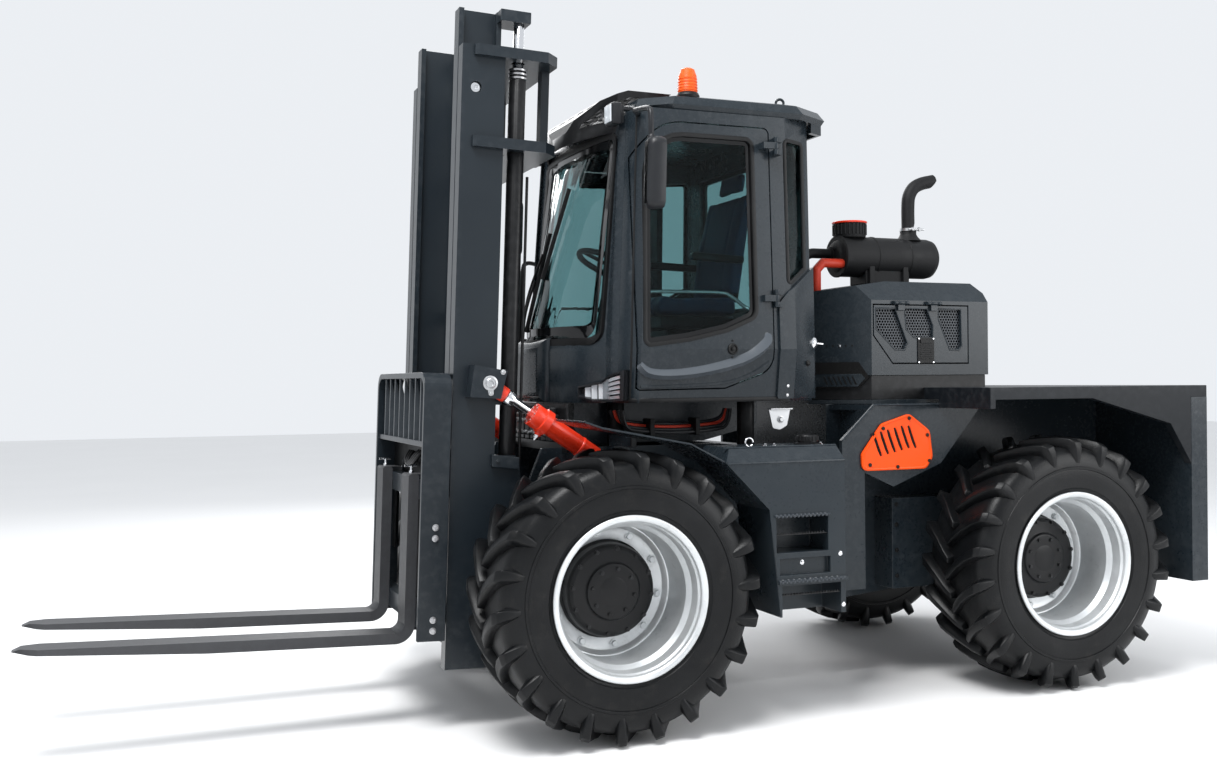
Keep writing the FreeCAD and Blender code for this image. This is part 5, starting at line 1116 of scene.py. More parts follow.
def step_details():
    """Raised studs and toothed lips of the treads, and the step boxes' bolts and edge folds."""
    studs = []
    stud = spool("stud", at(0, 0, 0), OUT_UP,
                 [(-0.002, 0.0080), (0.0008, 0.0078), (0.0018, 0.0058), (0.0010, 0.0036), (-0.0015, 0.0030)], 10)
    for x_low, x_high, y_low, z in ((0.645, 0.900, -0.955, 0.8721), (0.660, 0.980, -0.959, 0.6041)):
        for row in range(2):
            for column in range(int((x_high - x_low - 0.02) / STUD_PITCH)):
                x = x_low + 0.016 + STUD_PITCH * column + STUD_PITCH / 2 * row
                studs.append(copy_of(stud, (x, y_low + 0.014 + 0.022 * row, z)))
    bpy.data.objects.remove(stud)
    knurl = spool("knurl", at(0, 0, 0), OUT_LEFT, [(-0.001, 0.0062), (0.0020, 0.0050), (0.0034, 0.0025)], 8)
    rope = []
    for x_low, x_high, y, z in ((0.645, 0.900, -0.9582, 0.867), (0.660, 0.980, -0.9622, 0.597)):
        for index in range(int((x_high - x_low) / KNURL_PITCH)):
            rope.append(copy_of(knurl, (x_low + KNURL_PITCH * index, y, z + 0.0028 * (-1) ** index)))
    bpy.data.objects.remove(knurl)
    on_both(joined("rope", rope), "{}_tread_edges", MESH_WIRE, "front_frame", "frame_paint")
    on_both(joined("studs", studs), "{}_tread_studs", PIN_STEEL, "front_frame", "pin_steel")
    teeth = []
    for x_low, x_high, y, z in ((0.652, 0.893, -0.944, 0.7900), (0.668, 0.903, -0.9235, 0.676),
                                (0.678, 0.952, -0.944, 0.540)):
        teeth.append(block("lip", (x_low, x_high), (y, y + 0.030), (z - 0.004, z), 0.001))
        for index in range(int((x_high - x_low) / TOOTH_PITCH)):
            x = x_low + TOOTH_PITCH * (index + 0.2)
            teeth.append(side_plate("tooth", [(x, z - 0.0005), (x + 0.0085, z - 0.0005), (x + 0.006, z + 0.007),
                                              (x + 0.0025, z + 0.007)], y, y + 0.004))
    on_both(joined("teeth", teeth), "{}_step_grips", BLACK_PAINT, "front_frame", "mast_steel")
    heads = bolts([at(0.952, -0.9501, 0.698), at(0.966, -0.9501, 0.484), at(0.782, -0.9252, 0.668)], OUT_LEFT,
                  0.0072)
    on_both(heads, "{}_step_bolts", CHROME, "front_frame", "pin_steel")
    fold = trim("fold", [at(x, -0.9496, 1.0915) for x in (0.428, 0.60, 0.80, 0.978)], Vector((0, -1, 0.45)),
                0.012, 0.0025, 0.002, crown=0.5)
    crest = trim("crest", [at(x, -0.8806, 1.1500) for x in (0.44, 0.60, 0.80, 0.978)], Vector((0, -0.6, 1)),
                 0.010, 0.0020, 0.002, crown=0.5)
    on_both(joined("folds", [fold, crest]), "{}_step_folds", FRAME_PAINT, "front_frame", "frame_paint")


CAP_PLACE = (0.900, -0.780)
CAP_RIBS = 20


def filler_cap():
    """Filler neck with its cap, the bolts beside it and a lifting ring, on top of a step box."""
    x, y = CAP_PLACE
    dark = [spool("flange", at(x, y, 1.1495), OUT_UP,
                  [(0, 0.060), (0.004, 0.060), (0.006, 0.052), (0.010, 0.044), (0.016, 0.044)], 36),
            spool("cap", at(x, y, 1.164), OUT_UP,
                  [(0, 0.046), (0.020, 0.046), (0.025, 0.042), (0.027, 0.030), (0.024, 0.026), (0.024, 0.002)], 36)]
    for turn in (math.tau * index / CAP_RIBS for index in range(CAP_RIBS)):
        dark.append(spool("rib", at(x + 0.045 * math.cos(turn), y + 0.045 * math.sin(turn), 1.166), OUT_UP,
                          [(0, 0.004), (0.018, 0.004), (0.020, 0.002)], 8))
    on_both(joined("cap", dark), "{}_filler_cap", BLACK_PAINT, "front_frame", "mast_steel")
    heads = bolts([at(x, -0.800, 1.1498) for x in (0.680, 0.724, 0.952)], OUT_UP, 0.009)
    ring = tube("ring", [at(0.598 + 0.018 * math.cos(turn), -0.815, 1.166 + 0.018 * math.sin(turn))
                         for turn in (math.tau * step / 12 for step in range(12))], 0.0045, 8, 2)
    on_both(joined("fittings", [heads, ring]), "{}_box_bolts", CHROME, "front_frame", "pin_steel")


def mount_bracket():
    """Plated cab mount bracket under the sill, with its flange and bolt."""
    outline = rounded([(0.808, 1.300, 0.0), (0.918, 1.300, 0.0), (0.900, 1.225, 0.012), (0.865, 1.206, 0.02),
                       (0.828, 1.214, 0.012)])
    parts = [side_plate("plate", outline, -0.610, -0.602, 0.001),
             block("flange", (0.808, 0.918), (-0.632, -0.602), (1.296, 1.302), 0.001),
             bolt_head(at(0.868, -0.6100, 1.252), OUT_LEFT, 0.012)]
    on_both(joined("bracket", parts), "{}_mount_bracket", GALVANIZED, "front_frame", "pin_steel")


def under_cab_pipes():
    """Steel brake and steering lines clipped along the frame under the cab; the second one is red."""
    pipes = []
    for index in range(4):
        y = -0.395 - 0.020 * index
        z = 1.245 - 0.012 * index
        pipes.append(tube("pipe", [
            at(0.140 + 0.012 * index, y, 1.30), at(0.165 + 0.010 * index, y, z + 0.02), at(0.26, y, z),
            at(0.44, y, z - 0.010), at(0.62, y, z), at(0.68, y, z + 0.02), at(0.70, y, 1.30)], 0.0075, 10))
    red = [pipes.pop(1)]
    clips = [block("clip", (x, x + 0.022), (-0.470, -0.385), (1.186, 1.262), 0.003) for x in (0.30, 0.52)]
    finished(both_sides("red_pipes", joined("red", red)), HOSE_RED, "front_frame", "hose_rubber")
    finished(both_sides("dark_pipes", joined("dark", pipes)), LAMP_PLASTIC, "front_frame", "hose_rubber")
    # The clips take the near-black paint: painted shade under the cab.
    finished(both_sides("pipe_clips", joined("clips", clips)), UNDERSIDE_PAINTED_SHADE, "front_frame", "pin_steel")


# ---------------------------------------------------------------- mast details
MAST_LEAN = math.radians(2.2)
TRUNNION = (-0.330, 0.500)
TILT_BASE = (0.100, 1.060)
TILT_EYE = (-0.440, 1.423)
LIFT_X, LIFT_Y = -0.025, -0.398


def masted(x, y, z):
    """A place on the upright mast, x from its trunnion, as the mast leans at rest."""
    rise = z - TRUNNION[1]
    return at(TRUNNION[0] + x * math.cos(MAST_LEAN) + rise * math.sin(MAST_LEAN), y,
              TRUNNION[1] - x * math.sin(MAST_LEAN) + rise * math.cos(MAST_LEAN))


def mast_plate(name, outline, low, high, edge):
    """A (y, z) outline on the mast between two values of x."""
    return plate(name, outline, low, high, lambda y, z, x: masted(x, y, z), edge)


MAST_UP = Vector((math.sin(MAST_LEAN), 0, math.cos(MAST_LEAN)))


def mast_details():
    """Gland rings, lift cylinder pipes, tilt pin heads, roller bolts and rail plates of the outer mast."""
    rings = [spool("ring", masted(LIFT_X, LIFT_Y, z), MAST_UP,
                   [(0, 0.0362), (0.002, 0.0395), (0.009, 0.0395), (0.011, 0.0362)], 40)
             for z in (2.705, 2.722, 2.739)]
    on_both(joined("rings", rings), "{}_gland_rings", PIN_STEEL, "outer_mast", "pin_steel")
    pipe = tube("pipe", [masted(x, LIFT_Y, z) for x, z in (
        (LIFT_X, 0.700), (0.026, 0.705), (0.030, 0.74), (0.030, 1.20), (0.030, 1.80), (0.030, 2.30))], 0.0065, 10)
    on_both(pipe, "{}_lift_pipe", BLACK_PAINT, "outer_mast", "cylinder_black")
    eye_x, eye_z = TILT_EYE
    pins = [spool("washer", at(eye_x, -0.5318, eye_z), OUT_LEFT, [(0, 0.031), (0.004, 0.031), (0.005, 0.029)], 36),
            spool("head", at(eye_x, -0.5360, eye_z), OUT_LEFT,
                  [(0, 0.021), (0.010, 0.021), (0.013, 0.018), (0.013, 0.010), (0.009, 0.008)], 30),
            side_plate("keeper", rounded([(-0.448, 1.372, 0.008), (-0.428, 1.372, 0.008), (-0.426, 1.402, 0.0),
                                          (-0.452, 1.402, 0.0)]), -0.5355, -0.5320),
            bolt_head(at(-0.438, -0.5355, 1.381), OUT_LEFT, 0.007),
            bolt_head(at(-0.385, -0.5320, 1.468), OUT_LEFT, 0.008)]
    on_both(joined("pin", pins), "{}_tilt_pin_head", GALVANIZED, "outer_mast", "pin_steel")
    roller = (-0.218, 2.645)
    cap = [spool("cap", masted(roller[0], -0.4360, roller[1]), OUT_LEFT,
                 [(0, 0.020), (0.003, 0.020), (0.004, 0.012)], 24),
           bolt_head(masted(roller[0], -0.440, roller[1]), OUT_LEFT, 0.008)]
    on_both(joined("bolts", cap), "{}_roller_bolt", CHROME, "outer_mast", "pin_steel")
    strap = [side_plate("plate", [(-0.418, 1.128), (-0.300, 1.112), (-0.300, 1.062), (-0.418, 1.076)],
                        -0.476, -0.4505, 0.003),
             bolt_head(at(-0.395, -0.476, 1.100), OUT_LEFT, 0.007)]
    on_both(joined("plate", strap), "{}_rail_plate", MAST_PAINT, "outer_mast", "mast_steel")


GUARD_HALF, GUARD_PLATE, GUARD_LOW, GUARD_TOP, GUARD_CORNER = 0.480, 0.024, 0.365, 1.455, 0.070
SLAT_COUNT = 8


def guard_outline(half, top, corner):
    """Outline of an upright plate with two rounded upper corners."""
    return rounded([(-half, GUARD_LOW, 0), (-half, top, corner), (half, top, corner), (half, GUARD_LOW, 0)], 8)


def load_guard():
    """Side plates that turn into a rounded top, a lower bar and slats that taper to their upper ends."""
    half, top = GUARD_HALF - GUARD_PLATE, GUARD_TOP - GUARD_PLATE
    outer = guard_outline(GUARD_HALF, GUARD_TOP, GUARD_CORNER)
    inner = guard_outline(half, top, GUARD_CORNER - GUARD_PLATE * 0.6)
    hoop = mast_plate("hoop", outer + inner[::-1], -0.405, -0.290, 0.0025)
    lower = mast_plate("bar", [(-half - 0.005, 1.150), (half + 0.005, 1.150), (half + 0.005, 1.172),
                               (-half - 0.005, 1.172)], -0.396, -0.332, 0.002)
    finished(joined("load_guard", [hoop, lower]), MAST_PAINT, "fork_carriage", "mast_steel", "load_backrest")
    pitch = 2 * half / (SLAT_COUNT + 1)
    slats = []
    for y in [-half + (index + 1) * pitch for index in range(SLAT_COUNT)] + [-half + 0.007]:
        slats.append(plate("slat", [(-0.392, 1.170), (-0.332, 1.170), (-0.332, 1.280), (-0.364, 1.334),
                                    (-0.389, 1.436), (-0.392, 1.436)], y - 0.006, y + 0.006,
                           lambda x, z, y: masted(x, y, z), 0.0015))
    # The slats take the lighter paint: painted light on their faces.
    finished(joined("guard_slats", slats), GUARD_SLAT_PAINTED_LIGHT, "fork_carriage", "mast_steel")


def carriage_details():
    """Closing plate and webs behind the fork bars, with the hoses of the side shift looped over them."""
    sheet = [mast_plate("carriage_sheet", [(-0.262, 0.478), (0.262, 0.478), (0.262, 0.932), (0.190, 1.140),
                                           (-0.190, 1.140), (-0.262, 0.932)], -0.3195, -0.3155, 0.001)]
    web = [(-0.457, 0.640), (-0.385, 0.640), (-0.385, 1.010), (-0.185, 1.060), (-0.185, 1.142), (-0.385, 1.142),
           (-0.385, 1.425), (-0.457, 1.400)]
    for side in (1, -1):
        sheet.append(mast_plate("web", [(side * y, z) for y, z in web], -0.3195, -0.3155, 0.001))
    # The closing plate and webs take the near-black paint: painted shade behind the fork bars.
    finished(joined("carriage_sheet", sheet), UNDERSIDE_PAINTED_SHADE, "fork_carriage", "mast_steel")
    hoses = []
    for y in (-0.150 + 0.034 * index for index in range(3)):
        hoses.append(tube("hose", [masted(x, y + along, z) for x, along, z in (
            (-0.322, 0, 1.120), (-0.340, 0.01, 1.100), (-0.352, 0.05, 1.070), (-0.350, 0.12, 1.052),
            (-0.345, 0.17, 1.075), (-0.322, 0.19, 1.110))], 0.009, 10))
    for y in (-0.060, 0.050):
        hoses.append(tube("line", [masted(x, y + along, z) for x, along, z in (
            (-0.322, 0, 0.900), (-0.332, 0, 0.860), (-0.332, 0.015, 0.700), (-0.332, 0, 0.540),
            (-0.322, 0, 0.500))], 0.008, 10))
    finished(joined("carriage_hoses", hoses), GASKET, "fork_carriage", "hose_rubber")


def guard_details():
    """Bolts on the guard's side plates, the catch pins on top of the forks and the lower bar's edge."""
    heads = bolts([masted(-0.3425, -0.4801, z) for z in (0.826, 0.782, 0.452, 0.408)], OUT_LEFT, 0.0105)
    on_both(heads, "{}_guard_bolts", PIN_STEEL, "fork_carriage", "pin_steel")
    catches = []
    for y in (-0.265, 0.265):
        foot = masted(-0.400, y, 1.031)
        head = foot + MAST_UP * 0.034
        catches.append(spool("stem", foot, MAST_UP,
                             [(0, 0.010), (0.012, 0.010), (0.014, 0.006), (0.034, 0.006)], 16))
        catches.append(tube("handle", [head + Vector((-0.030, 0, 0)), head + Vector((0.022, 0, 0))], 0.0055, 10))
    finished(joined("fork_catches", catches), CHROME, "fork_carriage", "pin_steel")
    edge = trim("edge", [masted(-0.393, y, 1.161) for y in (-0.452, -0.20, 0.0, 0.20, 0.452)], OUT_FRONT,
                0.022, 0.0015, 0.001, crown=0.4)
    finished(edge, FORK_STEEL, "fork_carriage", "fork_steel")


TILT_Y = -0.490
PORTS = (0.352, 0.112)  # how far along the cylinder its two ports are, in metres


def tilt_cylinder_details():
    """Gland collar with its screws, band, ports with their unions, and the rod's clevis."""
    base = at(TILT_BASE[0], TILT_Y, TILT_BASE[1])
    axis = (at(TILT_EYE[0], TILT_Y, TILT_EYE[1]) - base).normalized()
    down = Vector((-axis.z, 0, axis.x)).normalized()
    down = down if down.z < 0 else -down
    collar = [spool("collar", base + axis * 0.334, axis,
                    [(0, 0.043), (0.004, 0.0555), (0.036, 0.0555), (0.040, 0.050), (0.083, 0.050),
                     (0.086, 0.047)], 40),
              spool("band", base + axis * 0.160, axis,
                    [(0, 0.0422), (0.002, 0.0440), (0.010, 0.0440), (0.012, 0.0422)], 40)]
    for along in PORTS:
        collar.append(spool("port", base + axis * along + down * 0.038, down,
                            [(0, 0.015), (0.024, 0.015), (0.026, 0.012)], 20))
    on_both(joined("collar", collar), "{}_tilt_gland", RED_PAINT, "tilt_cylinders", "cylinder_paint")
    clevis = spool("clevis", base + axis * 0.556, axis,
                   [(0, 0.0225), (0.003, 0.032), (0.040, 0.033), (0.052, 0.028)], 32)
    on_both(clevis, "{}_rod_clevis", RED_PAINT, "tilt_rods", "cylinder_paint")
    unions = []
    for along in PORTS:
        foot = base + axis * along + down * 0.062
        unions.append(spool("nut", foot, down, [(0, 0.012), (0.014, 0.012), (0.016, 0.009)], 6))
        unions.append(spool("plug", foot + down * 0.014, down, [(0, 0.008), (0.010, 0.008), (0.012, 0.006)], 16))
    for turn in (math.tau * step / 8 for step in range(8)):
        spot = base + axis * 0.4195 + (Vector((0, 1, 0)) * math.cos(turn) + down * math.sin(turn)) * 0.041
        unions.append(spool("screw", spot, axis, [(0, 0.0042), (0.003, 0.0042), (0.004, 0.003)], 10))
    on_both(joined("unions", unions), "{}_tilt_unions", CHROME, "tilt_cylinders", "pin_steel")


# ---------------------------------------------------------------- rear frame details
LID_WINDOWS = (((1.447, 1.757), (1.552, 1.757), (1.618, 1.598), (1.602, 1.567), (1.550, 1.567), (1.450, 1.660)),
               ((1.608, 1.757), (1.732, 1.757), (1.764, 1.683), (1.764, 1.625), (1.660, 1.625), (1.618, 1.662)),
               ((1.802, 1.757), (1.928, 1.757), (1.932, 1.586), (1.914, 1.567), (1.864, 1.567), (1.802, 1.707)))
MESH_PITCH = 0.0150
MESH_ROW = MESH_PITCH * 0.866


def within(outline, x, z, margin):
    """Whether a point lies inside a convex or nearly convex outline, or within the margin of it."""
    inside = False
    for (ax, az), (bx, bz) in zip(outline, outline[1:] + outline[:1]):
        if (az > z) != (bz > z) and x < (bx - ax) * (z - az) / (bz - az) + ax:
            inside = not inside
        span, arm = Vector((bx - ax, bz - az)), Vector((x - ax, z - az))
        share = max(0.0, min(1.0, arm.dot(span) / span.length_squared))
        if (arm - span * share).length < margin:
            return True
    return inside


def lid_mesh():
    """Hexagonal mesh behind the three windows of the left hood lid."""
    wall = MESH_PITCH / math.sqrt(3)
    section = ((wall, -0.4850), (wall, -0.4820), (wall * 0.70, -0.4820), (wall * 0.70, -0.4850))
    cell = drawn("cell", [[at(radius * math.cos(turn), y, radius * math.sin(turn)) for radius, y in section]
                          for turn in (math.tau * (step + 0.5) / 6 for step in range(7))], closed=True)
    cells = []
    for outline in LID_WINDOWS:
        low_x, high_x = min(x for x, z in outline), max(x for x, z in outline)
        low_z, high_z = min(z for x, z in outline), max(z for x, z in outline)
        for row in range(int((high_z - low_z) / MESH_ROW) + 2):
            for column in range(int((high_x - low_x) / MESH_PITCH) + 2):
                x = low_x + MESH_PITCH * (column + 0.5 * (row % 2))
                z = low_z + MESH_ROW * row
                if within(outline, x, z, MESH_PITCH * 0.45):
                    cells.append(copy_of(cell, (x, 0, z)))
    bpy.data.objects.remove(cell)
    return joined("mesh", cells)


def lid_details():
    """Mesh, window beads and the latch of the hood's lids."""
    # The mesh wires take the lighter paint: painted light.
    on_both(lid_mesh(), "{}_lid_mesh", MESH_WIRE, "{}_hood_door", "mast_steel")
    beads = []
    for outline in LID_WINDOWS:
        middle = (sum(x for x, z in outline) / 6, sum(z for x, z in outline) / 6)
        points = [at(x + (x - middle[0]) * 0.05, -0.500, z + (z - middle[1]) * 0.05) for x, z in outline]
        beads.append(trim("bead", points, OUT_LEFT, 0.006, 0.0018, 0.001, closed=True, crown=0.5))
    on_both(joined("beads", beads), "{}_lid_beads", FRAME_PAINT, "{}_hood_door", "frame_paint")
    latch = [side_plate("frame", [(1.676, 1.500), (1.770, 1.500), (1.770, 1.623), (1.676, 1.623)],
                        -0.5052, -0.498, 0.002)]
    for z in (1.520 + 0.0105 * index for index in range(7)):
        latch.append(block("rib", (1.688, 1.758), (-0.5075, -0.505), (z, z + 0.005), 0.0008))
    latch.append(side_plate("paddle", rounded([(1.690, 1.596, 0.004), (1.756, 1.596, 0.004), (1.756, 1.612, 0.004),
                                               (1.690, 1.612, 0.004)]), -0.5100, -0.505, 0.001))
    on_both(joined("latch", latch), "{}_lid_latch", GASKET, "{}_hood_door", "lamp_plastic")
    heads = [spool("screw", at(x, -0.5052, z), OUT_LEFT, [(0, 0.0042), (0.0015, 0.0042), (0.0025, 0.003)], 12)
             for x in (1.6815, 1.7645) for z in (1.5055, 1.6175)]
    on_both(joined("screws", heads), "{}_lid_screws", CHROME, "{}_hood_door", "pin_steel")


def nose_point(share, z, out=0.0):
    """A point on the slanted nose of the hood, share 0 at its front and 1 at its flank."""
    start, end = Vector((1.215, -0.270)), Vector((1.420, -0.500))
    along = (end - start).normalized()
    spot = start + (end - start) * share
    return at(spot.x + along.y * out, spot.y - along.x * out, z)


def nose_plate(name, outline, low, high, edge=0.0):
    """A (share, z) outline on the hood's nose between two distances from it."""
    return plate(name, outline, low, high, nose_point, edge)


def hood_details():
    """Louvres and a bolt on the nose, near-black painted shade for its recess, holes and slots, and for the slots
    of the panel on top of the hood's front.
    """
    out = (nose_point(0, 0, 1) - nose_point(0, 0)).normalized()
    dark = [nose_plate("recess", [(0.10, 1.386), (0.80, 1.386), (0.96, 1.436), (0.80, 1.508), (0.10, 1.508)],
                       -0.002, 0.0015)]
    for index in (0, 1, 3, 4):
        dark.append(spool("dot", nose_point(0.30 + 0.10 * index, 1.585), out, [(-0.001, 0.0045), (0.0004, 0.0045)],
                          14))
    for share in (0.24 + 0.075 * index for index in range(7)):
        dark.append(nose_plate("slot", [(share, 1.440), (share + 0.025, 1.440), (share + 0.085, 1.402),
                                        (share + 0.060, 1.402)], 0.004, 0.0062))
    bars = nose_plate("louvre", [(0.12, 1.392), (0.78, 1.392), (0.90, 1.430), (0.84, 1.452), (0.12, 1.452)],
                      0.001, 0.0045, 0.001)
    # The recess, holes and slots are near-black sheets: painted shade.
    finished(both_sides("nose_painted_shade", joined("dark", dark)), OPENING_PAINTED_SHADE, "rear_frame", "mast_steel")
    finished(both_sides("nose_louvres", bars), FRAME_PAINT, "rear_frame", "frame_paint")
    strips = []
    for x in (1.250 + 0.0125 * index for index in range(22)):
        z = 1.8430 + 0.050 * (x - 1.205) / 0.340
        for y in (-0.235, -0.075, 0.085):
            strips.append(block("slot", (x, x + 0.0065), (y, y + 0.150), (z - 0.003, z + 0.0013)))
    # The slots are near-black strips: painted shade.
    finished(joined("hood_slot_painted_shade", strips), OPENING_PAINTED_SHADE, "rear_frame", "mast_steel")
    bolt = bolt_head(nose_point(0.50, 1.585), out, 0.0055)
    finished(both_sides("nose_bolts", bolt), CHROME, "rear_frame", "pin_steel")


DRUM_Y, DRUM_Z = -0.200, 2.030
STACK_X, INTAKE_X = 1.845, 1.500
PIPE_Y, PIPE_Z = -0.145, 2.048
CLAMP_Y, CLAMP_Z = -0.246, 2.175
INTAKE_RIBS = 26


def silencer():
    """Silencer drum with dished ends, saddles, swept stack, intake cap and front pipe."""
    drum = spool("drum", at(1.4255, DRUM_Y, DRUM_Z), OUT_REAR,
                 [(0, 0.060), (0, 0.092), (0.006, 0.0995), (0.510, 0.0995), (0.535, 0.094), (0.550, 0.078),
                  (0.558, 0.050), (0.5595, 0.010)], 72)
    saddle = block("saddle", (1.545, 1.800), (-0.270, -0.130), (1.893, 1.962), 0.004)
    straps = [block("strap", (x, x + 0.030), (-0.285, -0.115), (1.894, 1.990), 0.003) for x in (1.560, 1.755)]
    stack = tube("stack", [at(x, DRUM_Y, z) for x, z in (
        (STACK_X, 2.100), (STACK_X, 2.200), (STACK_X, 2.290), (1.852, 2.345), (1.880, 2.388), (1.925, 2.412),
        (1.978, 2.425), (1.996, 2.429))], 0.0325, 32, 5)
    choose(stack)
    bpy.ops.object.mode_set(mode="EDIT")
    bpy.ops.mesh.select_all(action="SELECT")
    bpy.ops.mesh.bisect(plane_co=at(1.993, DRUM_Y, 2.420), plane_no=(0.86, 0, -0.50), clear_outer=True,
                        use_fill=True)
    bpy.ops.object.mode_set(mode="OBJECT")
    cap = spool("cap", at(INTAKE_X, DRUM_Y, 2.118), OUT_UP,
                [(0, 0.050), (0.004, 0.076), (0.010, 0.079), (0.072, 0.079), (0.081, 0.072), (0.083, 0.02)], 56)
    pipe = tube("pipe", [at(x, PIPE_Y, z) for x, z in (
        (1.428, PIPE_Z), (1.360, PIPE_Z), (1.310, 2.046), (1.276, 2.028), (1.262, 1.990), (1.262, 1.930),
        (1.262, 1.853))], 0.0245, 28, 6)
    flange = spool("flange", at(1.424, PIPE_Y, PIPE_Z), OUT_FRONT,
                   [(0, 0.036), (0.008, 0.036), (0.010, 0.030)], 28)
    finished(joined("silencer", [drum, saddle, stack, cap, pipe, flange] + straps), EXHAUST, "rear_frame",
             "mast_steel", "muffler")


def silencer_details():
    """Rolled seams, end ring, ribbed intake cap, clamp and flange of the silencer."""
    parts = [spool("seam", at(x, DRUM_Y, DRUM_Z), OUT_REAR,
                   [(0, 0.0995), (0.002, 0.1022), (0.008, 0.1030), (0.014, 0.1022), (0.016, 0.0995)], 64)
             for x in (1.610, 1.800)]
    parts.append(spool("rim", at(1.4225, DRUM_Y, DRUM_Z), OUT_REAR,
                       [(0, 0.090), (0, 0.1000), (0.003, 0.1035), (0.010, 0.1035), (0.013, 0.1000)], 64))
    parts.append(spool("dish", at(1.4235, DRUM_Y, DRUM_Z), OUT_REAR,
                       [(0, 0.080), (-0.004, 0.074), (-0.004, 0.040), (0.0, 0.030)], 48))
    parts.append(spool("flare", at(STACK_X, DRUM_Y, 2.118), OUT_UP,
                       [(0, 0.066), (0.010, 0.058), (0.020, 0.048), (0.034, 0.0405), (0.050, 0.0400)], 40))
    for turn in (math.tau * index / INTAKE_RIBS for index in range(INTAKE_RIBS)):
        x, y = INTAKE_X + 0.0795 * math.cos(turn), DRUM_Y + 0.0795 * math.sin(turn)
        parts.append(spool("rib", at(x, y, 2.136), OUT_UP, [(0, 0.0048), (0.050, 0.0048), (0.052, 0.002)], 8))
    finished(joined("silencer_fittings", parts), EXHAUST, "rear_frame", "mast_steel")
    rim = spool("intake_rim", at(INTAKE_X, DRUM_Y, 2.192), OUT_UP,
                [(0, 0.0845), (0.003, 0.0860), (0.007, 0.0860), (0.009, 0.0840)], 48)
    finished(rim, RED_PAINT, "rear_frame", "cylinder_paint")
    clamp = [spool("band", at(STACK_X, DRUM_Y, 2.168), OUT_UP,
                   [(0, 0.0375), (0, 0.0425), (0.014, 0.0425), (0.014, 0.0375)], 40),
             tube("bolt", [at(x, CLAMP_Y, CLAMP_Z) for x in (1.815, 1.905)], 0.0052, 10)]
    clamp += [spool("nut", at(x, CLAMP_Y, CLAMP_Z), OUT_REAR, [(0, 0.010), (0.010, 0.010)], 6)
              for x in (1.832, 1.872)]
    finished(joined("stack_clamp", clamp), GALVANIZED, "rear_frame", "pin_steel")


def rear_details():
    """Vent panel screws, folded edges of the shoulders and tank bolts."""
    screws = [spool("screw", at(x, -0.6138, z), OUT_LEFT, [(0, 0.0085), (0.003, 0.0085), (0.005, 0.006)], 16)
              for x, z in ((1.330, 1.035), (1.402, 1.200), (1.545, 1.245), (1.645, 1.165), (1.655, 1.045),
                           (1.480, 1.022))]
    on_both(joined("screws", screws), "{}_vent_screws", GASKET, "rear_frame", "mast_steel")
    edge = trim("edge", [at(1.190, -0.6006, 1.150), at(1.275, -0.6006, 1.229), at(1.360, -0.6006, 1.308)],
                Vector((-0.5, -1, 0.5)), 0.012, 0.003, 0.002, crown=0.4)
    top = trim("top", [at(x, -0.600, 1.3085) for x in (1.360, 1.66, 1.970)], Vector((0, -0.7, 1)),
               0.012, 0.0025, 0.002, crown=0.4)
    on_both(joined("folds", [edge, top]), "{}_shoulder_folds", FRAME_PAINT, "rear_frame", "frame_paint")
    heads = bolts([at(1.550, -0.5001, z) for z in (0.50, 0.62, 0.74, 0.835)], OUT_LEFT, 0.008)
    on_both(heads, "{}_tank_bolts", GASKET, "rear_frame", "pin_steel")


def mirror_ring(x, corners):
    """Section of a mirror at a distance from its back; the housing leans to the rear with its height."""
    return [at(x + 0.010 * (z - 2.10) / 0.3, y, z) for y, z in rounded(corners)]


def mirrors():
    """Mirror housings with a rounded back, their caps, and the arms that carry them."""
    rings = []
    for share, grow in ((0.0, -0.022), (0.10, -0.008), (0.30, 0.0), (0.80, 0.0), (1.0, -0.003)):
        rings.append(mirror_ring(0.086 + 0.072 * share, [
            (-0.962 - grow, 2.108 - grow, 0.030), (-0.882 + grow, 2.108 - grow, 0.030),
            (-0.882 + grow, 2.396 + grow, 0.034), (-0.962 - grow, 2.396 + grow, 0.034)]))
    shell = smooth(drawn("shell", rings), 40)
    knuckle = spool("knuckle", at(0.122, -0.908, 2.372), OUT_UP, [(0, 0.016), (0.026, 0.016), (0.034, 0.011)], 24)
    arm = tube("arm", [at(0.122, -0.905, 2.385), at(0.122, -0.905, 2.470), at(0.124, -0.880, 2.515),
                       at(0.128, -0.760, 2.536), at(0.150, -0.680, 2.548), at(0.215, -0.592, 2.552)], 0.011, 14)
    foot = block("foot", (0.196, 0.240), (-0.628, -0.582), (2.534, 2.570), 0.004)
    on_both(joined("mirror", [shell, knuckle, arm, foot]), "{}_mirror", LAMP_PLASTIC, "front_frame",
            "lamp_plastic", "mirrors")
    glass_rings = [mirror_ring(x, [(-0.950, 2.122, 0.020), (-0.894, 2.122, 0.020), (-0.894, 2.382, 0.022),
                                   (-0.950, 2.382, 0.022)]) for x in (0.1565, 0.1592)]
    on_both(smooth(drawn("glass", glass_rings), 30), "{}_mirror_glass", CHROME, "front_frame", "glass")


